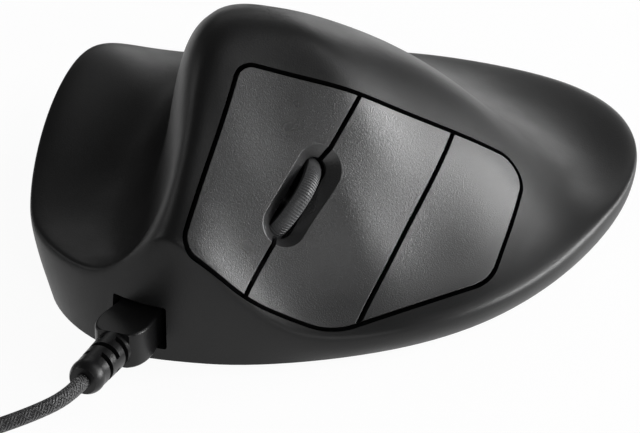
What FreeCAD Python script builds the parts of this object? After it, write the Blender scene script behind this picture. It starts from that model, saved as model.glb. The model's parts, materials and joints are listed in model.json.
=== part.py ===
"""Left-handed ergonomic mouse that carries the hand, with three buttons, a scroll wheel and a plug-in lead.

Millimetres. +Z is up, the front with the buttons faces -Y, the thumb side is -X, the little finger's wing is +X.
The origin is on the desk, under the middle of the mouse's own outline.
"""
import FreeCAD
import Part

import math
import os

from FreeCAD import Matrix, Placement, Rotation, Vector

# Sculpted skin. The rim's stations run round the outline: rim x, y, z, then x, y of the wall's foot.
RIM = [
    (-13, -78.5, 33, -12, -79.8), (2, -76.8, 17.5, 2, -77.2), (16, -71.8, 9, 16, -70.8), (29, -64.3, 7.6, 28.3, -63),
    (41, -54, 7.6, 40, -52.6), (51.5, -39.5, 8, 51, -37.2), (59.7, -19.5, 8, 59, -17.3), (64, 1.5, 8.8, 63.4, 3.2),
    (66, 22, 9.3, 64.8, 22), (62.2, 44.2, 11.8, 60.7, 43.2), (48.3, 60.8, 13.4, 46.8, 58.8),
    (26, 69.3, 13.4, 25, 66.8), (0, 71.2, 13.2, 0, 68.7), (-22, 66, 13, -21, 63.5), (-40.7, 52.7, 15.5, -38.7, 50.7),
    (-55.2, 33, 22.8, -52.2, 31.5), (-64.4, 12, 33.5, -60.4, 11), (-66, -8, 32, -62, -8), (-64.8, -25, 25.7, -61, -24),
    (-61.2, -40.6, 20.5, -57, -40), (-55, -55.2, 17, -52, -56.5), (-43.3, -66, 16.3, -43.7, -68),
    (-33.2, -72, 18, -34.1, -75.6), (-23.2, -76, 24, -23.2, -80)]
# Heights of the palm side, as x, y, z
RIDGE = [
    (-13, -71, 41.5), (-12, -60, 52), (-11, -50, 60), (-12, -42, 64.6), (-13, -33, 66.8), (-13, -22, 64.2),
    (-12, -8, 57.3), (-11, 8, 47), (-10, 25, 36), (-9, 45, 24), (-8, 58, 17)]
THUMB_WALL = [
    (-27.5, -30, 55), (-25, -45, 49.5), (-23, -53, 43), (-20, -64, 34), (-30, -12, 52), (-30, 4, 43), (-27, 20, 33),
    (-22, 38, 23), (-33, -30, 27), (-28.5, -48, 24), (-25.5, -61, 22), (-37, -10, 29), (-37, 8, 28.5)]
THUMB_TROUGH = [
    (-28, -66, 18), (-36, -56, 16), (-42, -42, 16.5), (-46, -25, 19), (-47, -8, 23), (-46, 8, 25.5), (-43, 22, 24),
    (-36, 38, 19)]
PALM_SLOPE = [
    (4, -22, 60.7), (15, -33, 51.6), (16, -18, 52.8), (17, -4, 49.2), (14, 12, 40), (33, -16, 36.8), (33, 0, 37.3),
    (30, 16, 30), (26, 30, 21.5), (12, 28, 29), (10, 45, 20), (28, 48, 14.5)]
FINGER_SLOPE = [
    (8.5, -54, 34), (30, -40, 22), (40, -30, 21), (22, -47, 28.5), (-4, -74, 28), (2, -68, 25), (14, -62, 19),
    (28, -56, 13), (40, -46, 11.5)]
WING = [
    (46, -6, 24), (50, -10, 19.5), (51, -20, 15.5), (50.5, -33, 11), (56, -25, 9), (58, -5, 10.5), (52, 10, 15),
    (58, 18, 10), (45, 25, 15.5), (55, 35, 10.5), (42, 42, 13)]
PLAN_CENTRE = (0.63, -3.71)     # middle of the outline in the tables above
LEAN = 0.3                      # the hump leans over the thumb by this much per millimetre of height
LEAN_FROM = 20.0
LEAN_BLEND = 6.0
STIFFNESS = 15.0                # how far the skin may pass beside the heights above, for a smoother sweep
CROWN = (3.0, -22.0)            # where the skin's spokes meet, in the leant plan
SPOKES = 30
SPOKE_STEPS = [0.0, 0.08, 0.21, 0.34, 0.46, 0.58, 0.7, 0.83, 0.95]
RIM_ROLL = 2.2                  # height of the rounding from the rim into the wall
FOOT_HEIGHT = 0.6               # the glide feet lift the base this far off the desk
WALL = 2.2
BASE_THICKNESS = 2.4
BASE_GAP = 0.15

# Button face: a slanted frame on the front slope. Its X runs across the fingers to the thumb, its Y along them to
# the tips, its Z out of the skin.
FACE_ORIGIN = (16.75, -45.25, 27.6)
FACE_NORMAL = (0.631, -0.485, 0.605)
FINGER_WAY = (-0.165, -0.846, -0.506)
FACE_CORNERS = [(39.8, -16), (30, 30.2), (10, 31.6), (-11, 27.0), (-38.6, -6), (-37.3, -43.6)]
FACE_ROUNDS = [5, 6, 40, 16, 14, 7]
PANEL_GAP = 1.1
PANEL = 2.2                     # thickness of the button panels
INDEX_MIDDLE = 11.0             # where the gap between index and middle button runs
MIDDLE_RING = -14.7
FACE_DEPTH = 8.0                # how deep below the frame the opening is cut

# Scroll wheel, in the button face's frame
WHEEL_PLACE = (11.0, 2.8)
WHEEL_RADIUS = 12.0
WHEEL_RISE = 2.2                # how far the tyre stands out of the panels
WHEEL_WIDTH = 3.8
TYRE = 2.4
TYRE_RIBS = 48
TYRE_RIB = 0.28                 # depth of the ribs
TYRE_SHOULDER = 1.0
HUB_INSET = 0.3                 # the hub is this much narrower than the tyre on each side
HUB_WEB = 1.8
HUB_RIM = 1.4
HUB_BOSS = 3.0
AXLE_RADIUS = 1.25
RUNNING = 0.05                  # radial clearance of everything that turns or slides
TROUGH_LENGTH = 26.2
TROUGH_WIDTH = 10.6
TROUGH_DEPTH = 2.2
TROUGH_TILT = 8.0               # degrees: the skin falls towards the finger tips here
TROUGH_WALL = 0.8               # thickness of the dish's floor
TROUGH_OVER = 1.5               # how far over the skin the dish is cut
WHEEL_AIR = 0.9                 # between the tyre and its slot, all round

# Chassis, board and switches under the buttons, in the button face's frame
CHASSIS_TOP = -13.6
CHASSIS = 2.0
CHASSIS_POSTS = [(20, 18.6), (-2, 14), (-22, -14), (27.5, -14)]
POST_RADIUS = 2.2
BUTTON_BOARD = 1.6
PIN_RADIUS = 1.0
PIN_DEPTH = -8.0                # height of the button hinges' pins
SWITCH_LENGTH = 12.8
SWITCH_WIDTH = 5.8
SWITCH_HEIGHT = 6.5
SWITCH_HOLES = 6.5              # middle to middle of a switch's fixing holes
PLUNGER_SIZE = (1.4, 2.9)
PLUNGER_SHIFT = 1.3             # the plunger lies this much beside the switch's middle
PLUNGER_RISE = 0.7
PLUNGER_TRAVEL = 0.45
CLICK_SIZE = 6.0
CLICK_HEIGHT = 3.5
CLICK_PIN = 1.7
CLICK_SUNK = 1.3
CLICK_RISE = 0.5
CLICK_TRAVEL = 0.35
TOUCH = 0.05                    # air between a plunger and what presses it
# button: middle of the hinge pin (x, y), middle of the switch (x, y)
BUTTONS = {
    "index": ((26.5, -14.0), (26.8, 8.0)),
    "middle": ((-5.5, -24.0), (-3.5, 2.0)),
    "ring": ((-25.0, -32.0), (-22.5, -13.0))}
LUG = 2.5
LUG_WALL = 1.5                  # round the pin
LUG_SPREAD = 7.6                # middle to middle of a button's two hinge lugs
EAR = 2.0
EAR_WALL = 1.4
EAR_AIR = 0.3                   # between a lug and the ear beside it
PRESS_BOSS = 1.7                # radius of the boss over a switch
STIFFENER = 1.0
STIFFENER_HEIGHT = 1.6
STIFFENER_SPREAD = 10.8
FACE_HIGH = 16.0                # above the skin everywhere on the button face
CRADLE_PIVOT = (-18.5, -9.5)    # along the fingers, and height
CRADLE_PLATE = 1.2
CRADLE_AIR = 1.5                # between the tyre and the cradle's plates
CRADLE_EYE = 2.4
ENCODER = 5.0
CRADLE_LOW = -11.6
CRADLE_HIGH = -7.0
CRADLE_FRONT = 24.0
CLICK_PLACE = 21.0              # where the wheel's click switch lies along the fingers

# Inside the base
PLATE_TOP = FOOT_HEIGHT + BASE_THICKNESS
BOARD = 1.6
BOSS_RADIUS = 3.0
BOSSES = [(-40.5, -46.5), (54.0, 4.0), (-36.0, 44.0), (30.0, 55.0)]
SCREW_RADIUS = 1.1
SCREW_LENGTH = 8.0
SCREW_HEAD_RADIUS = 2.2
SCREW_HEAD = 1.3
SENSOR_PLACE = (2.0, 14.0)
POWER_PLACE = (-43.0, 14.0)
POWER_TRAVEL = 3.0
BATTERY_PLACE = (38.0, 26.0)
BATTERY_SIZE = (24.0, 36.0, 5.2)
FEET = [("foot_front", 12.0, -57.0, 30.0, 7.0, 35.0), ("foot_back", 0.0, 62.0, 34.0, 6.0, 0.0),
        ("foot_left", -52.0, -2.0, 26.0, 7.0, 88.0), ("foot_right", 55.5, 24.0, 22.0, 6.5, 95.0)]

# Plug, socket and lead
PLUG_PLACE = (-22.0, -74.2, 8.7)
PLUG_YAW = 4.5                  # degrees: the plug points away to the thumb side
RECESS_WIDTH = 14.2
RECESS_HEIGHT = 10.6
RECESS_DEPTH = 7.0
RECESS_WALL = 1.5
SOCKET = (7.7, 9.0, 4.1)
SOCKET_BORE = (6.95, 7.4, 3.15)
PLUG_SHELL = (6.85, 6.6, 3.05)
SHELL_WALL = 0.35
OVERMOULD_WIDTH = 10.8
OVERMOULD_HEIGHT = 8.6
OVERMOULD_OUT = 14.6            # how far the overmould stands out of the wall
GRIP_WIDTH = 12.4               # where the overmould swells outside the recess
GRIP_PLACE = 7.0
GRIP_NECK = 7.8                 # width where the overmould meets the boot
BOOT_LENGTH = 16.0
BOOT_RADIUS = 4.3
BOOT_END_RADIUS = 3.9
BOOT_CORE = 2.1
BOOT_SLOTS = 3
BOOT_SLOT = 1.5
BOOT_SLOT_START = 2.0
BOOT_SLOT_STEP = 3.7
BOOT_SPINE = 1.3                # half width of what joins the rings
CORD = 3.5
LEAD_START = 7.5                # the lead runs on straight out of the boot, up to its first bend
LEAD_POINTS = [(-29.8, -118.7, 7.5), (-38.0, -124.6, 5.2), (-48.6, -132.4, 3.3)]
COIL_CENTRE = (-92.0, -128.0)
COIL_RADIUS = 31.4
COIL_PITCH = 3.95
COIL_HEART = 1.2                # extra step inwards of the half turn that climbs between the layers
COIL_HALF_TURNS = 10            # in each of the two layers
COIL_HEADING = 213.0            # degrees: the way the lead runs into the coil
TIE = 0.8
TIE_WIDTH = 10.0
TAIL_TURNS = [(10.5, 38.0, 0.0), (12.0, 30.0, -1.4), (12.0, 0.0, 0.0)]      # run, turn to the left, drop
USB_BODY = (15.6, 26.0, 8.0)
USB_BOOT = 12.0
USB_SHELL = (12.0, 18.5, 4.5)


def skin_points():
    """Rim stations and inner heights together, as plan x, y and height, with the lean taken out."""
    inner = RIDGE + THUMB_WALL + THUMB_TROUGH + PALM_SLOPE + FINGER_SLOPE + WING
    edge = [station[:3] for station in closed_curve(RIM, 2 * len(RIM))]
    return [(x + lean(z), y, z) for x, y, z in edge + inner]


def lean(z):
    """Sideways lean at a height: none low down, blending into a steady slope."""
    t = z - LEAN_FROM
    return LEAN * 0.5 * (t + math.sqrt(t * t + LEAN_BLEND * LEAN_BLEND))


def closed_curve(points, count):
    """Evenly stepped points of a closed smooth curve through a table of stations."""
    n = len(points)
    out = []
    for k in range(count):
        s = k * n / count
        i = int(s)
        a = s - i
        near = [points[(i + j) % n] for j in (-1, 0, 1, 2)]
        out.append(tuple(curve_value(a, *values) for values in zip(*near)))
    return out


def curve_value(a, before, start, end, after):
    """Value of a cubic between start and end whose slopes follow their neighbours."""
    bend = 2 * before - 5 * start + 4 * end - after
    swing = 3 * start - before - 3 * end + after
    return 0.5 * (2 * start + (end - before) * a + bend * a ** 2 + swing * a ** 3)


def solve(matrix, right):
    """Gaussian elimination with row exchange."""
    n = len(right)
    for i in range(n):
        best = max(range(i, n), key=lambda r: abs(matrix[r][i]))
        matrix[i], matrix[best] = matrix[best], matrix[i]
        right[i], right[best] = right[best], right[i]
        for r in range(i + 1, n):
            f = matrix[r][i] / matrix[i][i]
            if f:
                matrix[r] = [a - f * b for a, b in zip(matrix[r], matrix[i])]
                right[r] -= f * right[i]
    out = [0.0] * n
    for i in range(n - 1, -1, -1):
        known = sum(matrix[i][c] * out[c] for c in range(i + 1, n))
        out[i] = (right[i] - known) / matrix[i][i]
    return out


def plate_bend(r2):
    """Deflection of a thin plate at a squared distance from a point load."""
    return 0.5 * r2 * math.log(r2) if r2 else 0.0


class Sheet:
    """A thin bent plate that passes by all the skin's points."""

    def __init__(self, points):
        self.points = points
        n = len(points)
        matrix = [[0.0] * (n + 3) for _ in range(n + 3)]
        for i, (xi, yi, _) in enumerate(points):
            for j, (xj, yj, _) in enumerate(points):
                matrix[i][j] = plate_bend((xi - xj) ** 2 + (yi - yj) ** 2)
            matrix[i][i] += STIFFNESS
            for c, value in enumerate((1.0, xi, yi)):
                matrix[i][n + c] = value
                matrix[n + c][i] = value
        self.weights = solve(matrix, [p[2] for p in points] + [0.0] * 3)

    def height(self, x, y):
        n = len(self.points)
        flat = self.weights[n] + self.weights[n + 1] * x + self.weights[n + 2] * y
        bends = (w * plate_bend((x - px) ** 2 + (y - py) ** 2) for w, (px, py, _) in zip(self.weights, self.points))
        return flat + sum(bends)


def outward(stations, k):
    """Outward normal of the rim in plan at a station."""
    n = len(stations)
    ahead = stations[(k + 1) % n]
    behind = stations[k - 1]
    dx = ahead[0] - behind[0]
    dy = ahead[1] - behind[1]
    size = math.hypot(dx, dy)
    return dy / size, -dx / size


def palm_rows(sheet, stations):
    """Points of the palm side on each spoke, from the crown to just inside the rim."""
    cx, cy = CROWN
    crown = sheet.height(cx, cy)
    slope_x = (sheet.height(cx + 1, cy) - sheet.height(cx - 1, cy)) / 2
    slope_y = (sheet.height(cx, cy + 1) - sheet.height(cx, cy - 1)) / 2
    rows = []
    for j, step in enumerate(SPOKE_STEPS):
        row = []
        for rx, ry, rz, _, _ in stations:
            x = cx + (rx + lean(rz) - cx) * step
            y = cy + (ry - cy) * step
            flat = crown + slope_x * (x - cx) + slope_y * (y - cy)
            z = flat if j < 2 else sheet.height(x, y)
            row.append(Vector(x - lean(z), y, z))
        rows.append(row)
    return rows


def sunk(rows, depth):
    """The rows moved inwards along their normals."""
    n = len(rows[0])
    out = []
    for j, row in enumerate(rows):
        up = rows[max(j - 1, 0)]
        down = rows[min(j + 1, len(rows) - 1)]
        moved = []
        for k, point in enumerate(row):
            along = down[k] - up[k]
            across = row[(k + 1) % n] - row[k - 1]
            normal = along.cross(across)
            moved.append((point, normal))
        out.append(moved)
    crown_normal = Vector(0, 0, 0)
    for _, normal in out[1]:
        crown_normal += normal
    crown_normal.normalize()
    sunk_rows = [[rows[0][0] - crown_normal * depth] * n]
    sunk_rows.append([point - crown_normal * depth for point, _ in out[1]])
    for moved in out[2:]:
        sunk_rows.append([point - Vector(normal).normalize() * depth for point, normal in moved])
    return sunk_rows


def wall_rows(sheet, stations, depth):
    """Points that roll over the rim and run down the wall to the foot, depth inside the outer skin."""
    rows = [[], [], [], []]
    for k, (rx, ry, rz, fx, fy) in enumerate(stations):
        nx, ny = outward(stations, k)
        zr = sheet.height(rx + lean(rz), ry)
        roll = min(RIM_ROLL, 0.3 * zr)
        inset = depth * 0.8
        foot = FOOT_HEIGHT - (2.0 if depth else 0.0)
        rows[0].append(Vector(rx + nx * (1.2 - inset), ry + ny * (1.2 - inset), zr + 0.1 - depth * 1.1))
        low = zr - roll if not depth else zr - depth * 1.1 - 0.35 * roll
        rows[1].append(Vector(rx + nx * (1.7 - depth), ry + ny * (1.7 - depth), low))
        half = 1.2 - depth
        rows[2].append(Vector(0.45 * rx + 0.55 * fx + nx * half, 0.45 * ry + 0.55 * fy + ny * half, 0.45 * low))
        rows[3].append(Vector(fx - nx * depth, fy - ny * depth, foot))
    return rows


def sharpened(before, here, after):
    """A control point that makes the smooth skin pass close to its own place."""
    return here - (before - here * 2 + after) / 6


def skin_net(sheet, depth=0.0):
    """Control points of the skin, or of a surface depth inside it, row by row from the crown to the foot."""
    stations = closed_curve(RIM, SPOKES)
    palm = palm_rows(sheet, stations)
    if depth:
        palm = sunk(palm, depth)
    rows = palm + wall_rows(sheet, stations, depth)
    n = SPOKES
    eased = [list(row) for row in rows]
    for j in range(2, len(palm) - 1):
        eased[j] = [sharpened(rows[j - 1][k], rows[j][k], rows[j + 1][k]) for k in range(n)]
    net = [list(row) for row in eased]
    for j in range(2, len(rows)):
        net[j] = [sharpened(eased[j][k - 1], eased[j][k], eased[j][(k + 1) % n]) for k in range(n)]
    shift = Vector(PLAN_CENTRE[0], PLAN_CENTRE[1], 0)
    return [[point - shift for point in row] for row in net]


def skin_solid(sheet, depth=0.0):
    """Solid under the skin, or under a surface depth inside it, closed flat at the foot."""
    rows = skin_net(sheet, depth)
    m = len(rows)
    n = SPOKES
    poles = [[rows[j][n - 1 - i] for j in range(m)] for i in range(n)]
    round_knots = [float(i) for i in range(n + 1)]
    down_knots = [float(i) for i in range(m - 2)]
    surface = Part.BSplineSurface()
    surface.buildFromPolesMultsKnots(
        poles, [1] * (n + 1), [4] + [1] * (m - 4) + [4], round_knots, down_knots, True, False, 3, 3)
    skin = surface.toShape()
    foot_edge = min((e for e in skin.Edges if not e.Degenerated), key=lambda e: e.BoundBox.ZMax)
    foot = Part.Face(Part.Wire([foot_edge]))
    solid = Part.Solid(Part.Shell([skin, foot.reversed()]))
    if solid.Volume < 0:
        solid.reverse()
    return solid


def face_placement():
    """Placement of the button face's frame."""
    z = Vector(*FACE_NORMAL).normalize()
    y = Vector(*FINGER_WAY)
    y = (y - z * y.dot(z)).normalize()
    x = y.cross(z)
    ox, oy, oz = FACE_ORIGIN
    return Placement(Matrix(x.x, y.x, z.x, ox, x.y, y.y, z.y, oy, x.z, y.z, z.z, oz, 0, 0, 0, 1))


FACE = face_placement()


def on_face(shape):
    """Shape drawn in the button face's frame, put in its place on the mouse."""
    out = shape.copy()
    out.Placement = FACE.multiply(out.Placement)
    return out


def to_face(shape):
    """Shape in the mouse's frame, seen from the button face's frame."""
    out = shape.copy()
    out.Placement = FACE.inverse().multiply(out.Placement)
    return out


def box(x0, x1, y0, y1, z0, z1):
    return Part.makeBox(x1 - x0, y1 - y0, z1 - z0, Vector(x0, y0, z0))


def rod(radius, start, end):
    """Cylinder between two points."""
    a = Vector(*start)
    way = Vector(*end) - a
    return Part.makeCylinder(radius, way.Length, a, way)


def rounded(corners, radii):
    """Closed flat wire of straight sides with an arc at each corner."""
    points = [Vector(x, y, 0) for x, y in corners]
    n = len(points)
    arcs = []
    for i, (corner, radius) in enumerate(zip(points, radii)):
        to_before = (points[i - 1] - corner).normalize()
        to_after = (points[(i + 1) % n] - corner).normalize()
        half = to_before.getAngle(to_after) / 2
        reach = radius / math.tan(half)
        middle = (to_before + to_after).normalize() * (radius / math.sin(half))
        inner = corner + middle
        top = inner - (to_before + to_after).normalize() * radius
        arcs.append((corner + to_before * reach, top, corner + to_after * reach))
    edges = []
    for i, (start, top, end) in enumerate(arcs):
        edges.append(Part.Arc(start, top, end).toShape())
        edges.append(Part.LineSegment(end, arcs[(i + 1) % n][0]).toShape())
    return Part.Wire(edges)


def prism(wire, z0, z1):
    """Upright solid over a flat wire that lies at height nought."""
    base = wire.copy()
    base.translate(Vector(0, 0, z0))
    return Part.Face(base).extrude(Vector(0, 0, z1 - z0))


def stadium(length, width, height=0.0):
    """Wire with half-round ends, long along Y, about the origin."""
    r = width / 2
    s = length / 2 - r
    a, b = Vector(-r, s, height), Vector(r, s, height)
    c, d = Vector(r, -s, height), Vector(-r, -s, height)
    edges = [
        Part.Arc(a, Vector(0, s + r, height), b).toShape(),
        Part.LineSegment(b, c).toShape(),
        Part.Arc(c, Vector(0, -s - r, height), d).toShape(),
        Part.LineSegment(d, a).toShape()]
    return Part.Wire(edges)


def block(size, place, corner, turn=0.0):
    """Upright block about a plan place, with rounded vertical corners: size x, y, z from place's height."""
    sx, sy, sz = size
    hx, hy = sx / 2, sy / 2
    wire = rounded([(-hx, -hy), (hx, -hy), (hx, hy), (-hx, hy)], [corner] * 4)
    out = prism(wire, 0, sz)
    out.Placement = Placement(Vector(*place), Rotation(Vector(0, 0, 1), turn))
    return out


def face_outline():
    return rounded(FACE_CORNERS, FACE_ROUNDS)


def skin_height(outer_face, x, y):
    """Height of the skin over a place of the button face."""
    line = Part.LineSegment(Vector(x, y, -12), Vector(x, y, 25)).toShape()
    return max(v.Point.z for v in outer_face.common(line).Vertexes)


def wheel_frame(outer_face):
    """Placement of the wheel's trough: on the skin, tilted along it."""
    x, y = WHEEL_PLACE
    height = skin_height(outer_face, x, y)
    return Placement(Vector(x, y, height), Rotation(Vector(1, 0, 0), -TROUGH_TILT))


def wheel_centre(outer_face):
    """Place of the axle in the button face's frame: square under the middle of the trough."""
    return wheel_frame(outer_face).multVec(Vector(0, 0, WHEEL_RISE - WHEEL_RADIUS))


def slot_size():
    """Length and width of the tyre's slot: the tyre's chord under the dish's floor, with air all round."""
    height = WHEEL_RADIUS - WHEEL_RISE - TROUGH_DEPTH - TROUGH_WALL
    chord = 2 * math.sqrt(WHEEL_RADIUS ** 2 - height ** 2)
    return chord + 2 * WHEEL_AIR, WHEEL_WIDTH + 2 * WHEEL_AIR


def wheel_trough(outer_face):
    """Sloped dish round the wheel, with the slot that the tyre stands in."""
    length, width = slot_size()
    low = stadium(length, width, -TROUGH_DEPTH)
    above = 1 + TROUGH_OVER / TROUGH_DEPTH
    high = stadium(
        length + (TROUGH_LENGTH - length) * above, width + (TROUGH_WIDTH - width) * above, TROUGH_OVER)
    dish = Part.makeLoft([low, high], True, True)
    slot = prism(stadium(length, width), -TROUGH_DEPTH - 4 * TROUGH_WALL, 0)
    out = dish.fuse(slot)
    out.Placement = wheel_frame(outer_face)
    return out


def trough_floor(outer_face):
    """Thicker moulding under the panels, in which the dish keeps its wall."""
    floor = prism(
        stadium(TROUGH_LENGTH, TROUGH_WIDTH + 2 * TROUGH_WALL), -TROUGH_DEPTH - TROUGH_WALL, PANEL)
    floor.Placement = wheel_frame(outer_face)
    return floor


def panel_region(x0, x1):
    """Prism over one button's share of the face, a gap inside the opening."""
    face = Part.Face(face_outline())
    inner = face.makeOffset2D(-PANEL_GAP)
    solid = inner.extrude(Vector(0, 0, 34))
    solid.translate(Vector(0, 0, -14))
    return solid.common(box(x0, x1, -60, 50, -14, 20))


def panel_limits(name):
    """Low and high X of a button panel in the face's frame."""
    half = PANEL_GAP / 2
    sides = {
        "index": (INDEX_MIDDLE + half, 60.0),
        "middle": (MIDDLE_RING + half, INDEX_MIDDLE - half),
        "ring": (-60.0, MIDDLE_RING - half)}
    return sides[name]


def button(name, outer_face):
    """One button moulding: skin panel, two hinge lugs on the pin, stiffening ribs and the switch boss."""
    x0, x1 = panel_limits(name)
    region = panel_region(x0, x1)
    outer_part = region.common(outer_face)
    lowered = outer_face.copy()
    lowered.translate(Vector(0, 0, -PANEL))
    panel = outer_part.cut(lowered)
    middle = outer_face.copy()
    middle.translate(Vector(0, 0, -PANEL / 2))
    (px, py), (sx, sy) = BUTTONS[name]
    fittings = [trough_floor(outer_face).common(region)] if name != "ring" else []
    eye_radius = PIN_RADIUS + LUG_WALL
    for side in (-1, 1):
        x = px + side * LUG_SPREAD / 2
        eye = rod(eye_radius, (x - LUG / 2, py, PIN_DEPTH), (x + LUG / 2, py, PIN_DEPTH))
        web = box(x - LUG / 2, x + LUG / 2, py - eye_radius, py + eye_radius, PIN_DEPTH, FACE_HIGH)
        fittings.append(eye.fuse(web))
    tip = switch_top() + PLUNGER_RISE + TOUCH
    fittings.append(rod(PRESS_BOSS, (sx, sy + PLUNGER_SHIFT, tip), (sx, sy + PLUNGER_SHIFT, FACE_HIGH)))
    deep = outer_face.copy()
    deep.translate(Vector(0, 0, -PANEL - STIFFENER_HEIGHT))
    for side in (-1, 1):
        x = sx + side * STIFFENER_SPREAD / 2
        rib = box(x - STIFFENER / 2, x + STIFFENER / 2, py + 4.5, sy + 3, PIN_DEPTH, FACE_HIGH)
        fittings.append(rib.cut(deep))
    solid = panel.fuse([piece.common(middle) for piece in fittings])
    solid = solid.cut(rod(PIN_RADIUS + RUNNING, (px - 10, py, PIN_DEPTH), (px + 10, py, PIN_DEPTH)))
    return solid.cut(wheel_trough(outer_face)).removeSplitter()


def board_top():
    return CHASSIS_TOP + BUTTON_BOARD


def switch_top():
    return board_top() + SWITCH_HEIGHT


def microswitch(x, y):
    """Switch body with its well for the plunger and its two fixing holes, in the face's frame."""
    low = board_top()
    half = SWITCH_WIDTH / 2
    body = box(x - half, x + half, y - SWITCH_LENGTH / 2, y + SWITCH_LENGTH / 2, low, switch_top())
    body = body.makeFillet(0.5, [e for e in body.Edges if abs(e.tangentAt(e.FirstParameter).z) > 0.9])
    for shift in (-SWITCH_HOLES / 2, SWITCH_HOLES / 2):
        body = body.cut(rod(1.0, (x - half - 1, y + shift, low + 1.9), (x + half + 1, y + shift, low + 1.9)))
    return body.cut(plunger(x, y, RUNNING, PLUNGER_TRAVEL + 0.15))


def plunger(x, y, grow=0.0, deeper=0.0):
    """The switch's press pin, or its well when grown."""
    sx, sy = PLUNGER_SIZE
    middle = y + PLUNGER_SHIFT
    low = switch_top() - 1.3 - deeper
    top = switch_top() + PLUNGER_RISE
    return box(x - sx / 2 - grow, x + sx / 2 + grow, middle - sy / 2 - grow, middle + sy / 2 + grow, low, top)


def click_switch():
    """Small square switch under the front of the wheel's cradle."""
    x = WHEEL_PLACE[0]
    half = CLICK_SIZE / 2
    low = board_top()
    body = box(x - half, x + half, CLICK_PLACE - half, CLICK_PLACE + half, low, low + CLICK_HEIGHT)
    floor = low + CLICK_HEIGHT - CLICK_SUNK - CLICK_TRAVEL - 0.15
    return body.cut(rod(CLICK_PIN + RUNNING, (x, CLICK_PLACE, floor), (x, CLICK_PLACE, low + CLICK_HEIGHT + 1)))


def click_plunger():
    x = WHEEL_PLACE[0]
    top = board_top() + CLICK_HEIGHT
    return rod(CLICK_PIN, (x, CLICK_PLACE, top - CLICK_SUNK), (x, CLICK_PLACE, top + CLICK_RISE))


def cradle_sides():
    """Inner faces of the cradle's two plates."""
    half = WHEEL_WIDTH / 2 + CRADLE_AIR
    return WHEEL_PLACE[0] - half, WHEEL_PLACE[0] + half


def encoder_span():
    high = cradle_sides()[1] + CRADLE_PLATE
    return high, high + ENCODER


def hinge_ears(px, py, height, spread, low):
    """Two ears on the chassis that hold a pin's ends."""
    ears = []
    for side in (-1, 1):
        x = px + side * spread / 2
        reach = PIN_RADIUS + EAR_WALL
        eye = rod(reach, (x - EAR / 2, py, height), (x + EAR / 2, py, height))
        stem = box(x - EAR / 2, x + EAR / 2, py - reach, py + reach, low, height)
        ears.append(eye.fuse(stem))
    return ears


def ear_spread():
    """Middle to middle of the ears outside a button's lugs."""
    return LUG_SPREAD + LUG + EAR + 2 * EAR_AIR


def cradle_ear_spread():
    low, high = cradle_sides()
    return high - low + 2 * CRADLE_PLATE + EAR + 2 * EAR_AIR


def chassis_outline():
    corners = [(32.5, -19), (32.5, -6), (30, 12), (24, 22), (6, 25), (-11, 14), (-28.5, -9), (-32.5, -24),
               (-32.5, -36), (-17, -36), (-12.5, -28), (2, -28), (6, -22.5), (20, -22.5)]
    return rounded(corners, [1.5] * len(corners))


def wheel_window():
    """Opening in chassis and board for the wheel and its encoder."""
    x = WHEEL_PLACE[0]
    left = cradle_sides()[0] - CRADLE_PLATE - 0.9
    wide = encoder_span()[1] + 0.7
    window = box(left, x + 6, -13.5, 16.6, -20, 0)
    return window.fuse(box(x, wide, -4.5, 10.0, -20, 0))


def chassis():
    """Slanted frame that carries the board, the hinges and the wheel, on four posts from the base."""
    plate = prism(chassis_outline(), CHASSIS_TOP - CHASSIS, CHASSIS_TOP).cut(wheel_window())
    low = CHASSIS_TOP - CHASSIS / 2
    ears = []
    for (px, py), _ in BUTTONS.values():
        ears += hinge_ears(px, py, PIN_DEPTH, ear_spread(), low)
    ears += hinge_ears(WHEEL_PLACE[0], CRADLE_PIVOT[0], CRADLE_PIVOT[1], cradle_ear_spread(), low)
    solid = plate.fuse(ears)
    for (px, py), _ in BUTTONS.values():
        solid = solid.cut(rod(PIN_RADIUS, (px - 10, py, PIN_DEPTH), (px + 10, py, PIN_DEPTH)))
    x = WHEEL_PLACE[0]
    y, z = CRADLE_PIVOT
    solid = solid.cut(rod(PIN_RADIUS, (x - 12, y, z), (x + 12, y, z)))
    solid = on_face(solid)
    above = on_face(box(-80, 80, -80, 80, CHASSIS_TOP - CHASSIS / 2, 80))
    for px, py in CHASSIS_POSTS:
        foot = FACE.multVec(Vector(px, py, CHASSIS_TOP - CHASSIS))
        post = rod(POST_RADIUS, (foot.x, foot.y, PLATE_TOP), (foot.x, foot.y, foot.z + 6)).cut(above)
        solid = solid.fuse(post)
    return solid.removeSplitter()


def button_board():
    """Circuit board on the chassis, round the wheel's window."""
    corners = [(31.5, -8), (30, 11.5), (23.5, 21), (6, 24), (-10.3, 13.5), (-27, -8), (-29, -22), (-13, -22),
               (-12, -16), (3.5, -16), (3.5, 17.2), (23.9, 17.2), (23.9, -8)]
    wire = rounded(corners, [1.0] * len(corners))
    return prism(wire, CHASSIS_TOP, board_top())


def hinge_pin(px, py, height, spread):
    half = spread / 2 + EAR / 2
    return rod(PIN_RADIUS, (px - half, py, height), (px + half, py, height))


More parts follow.
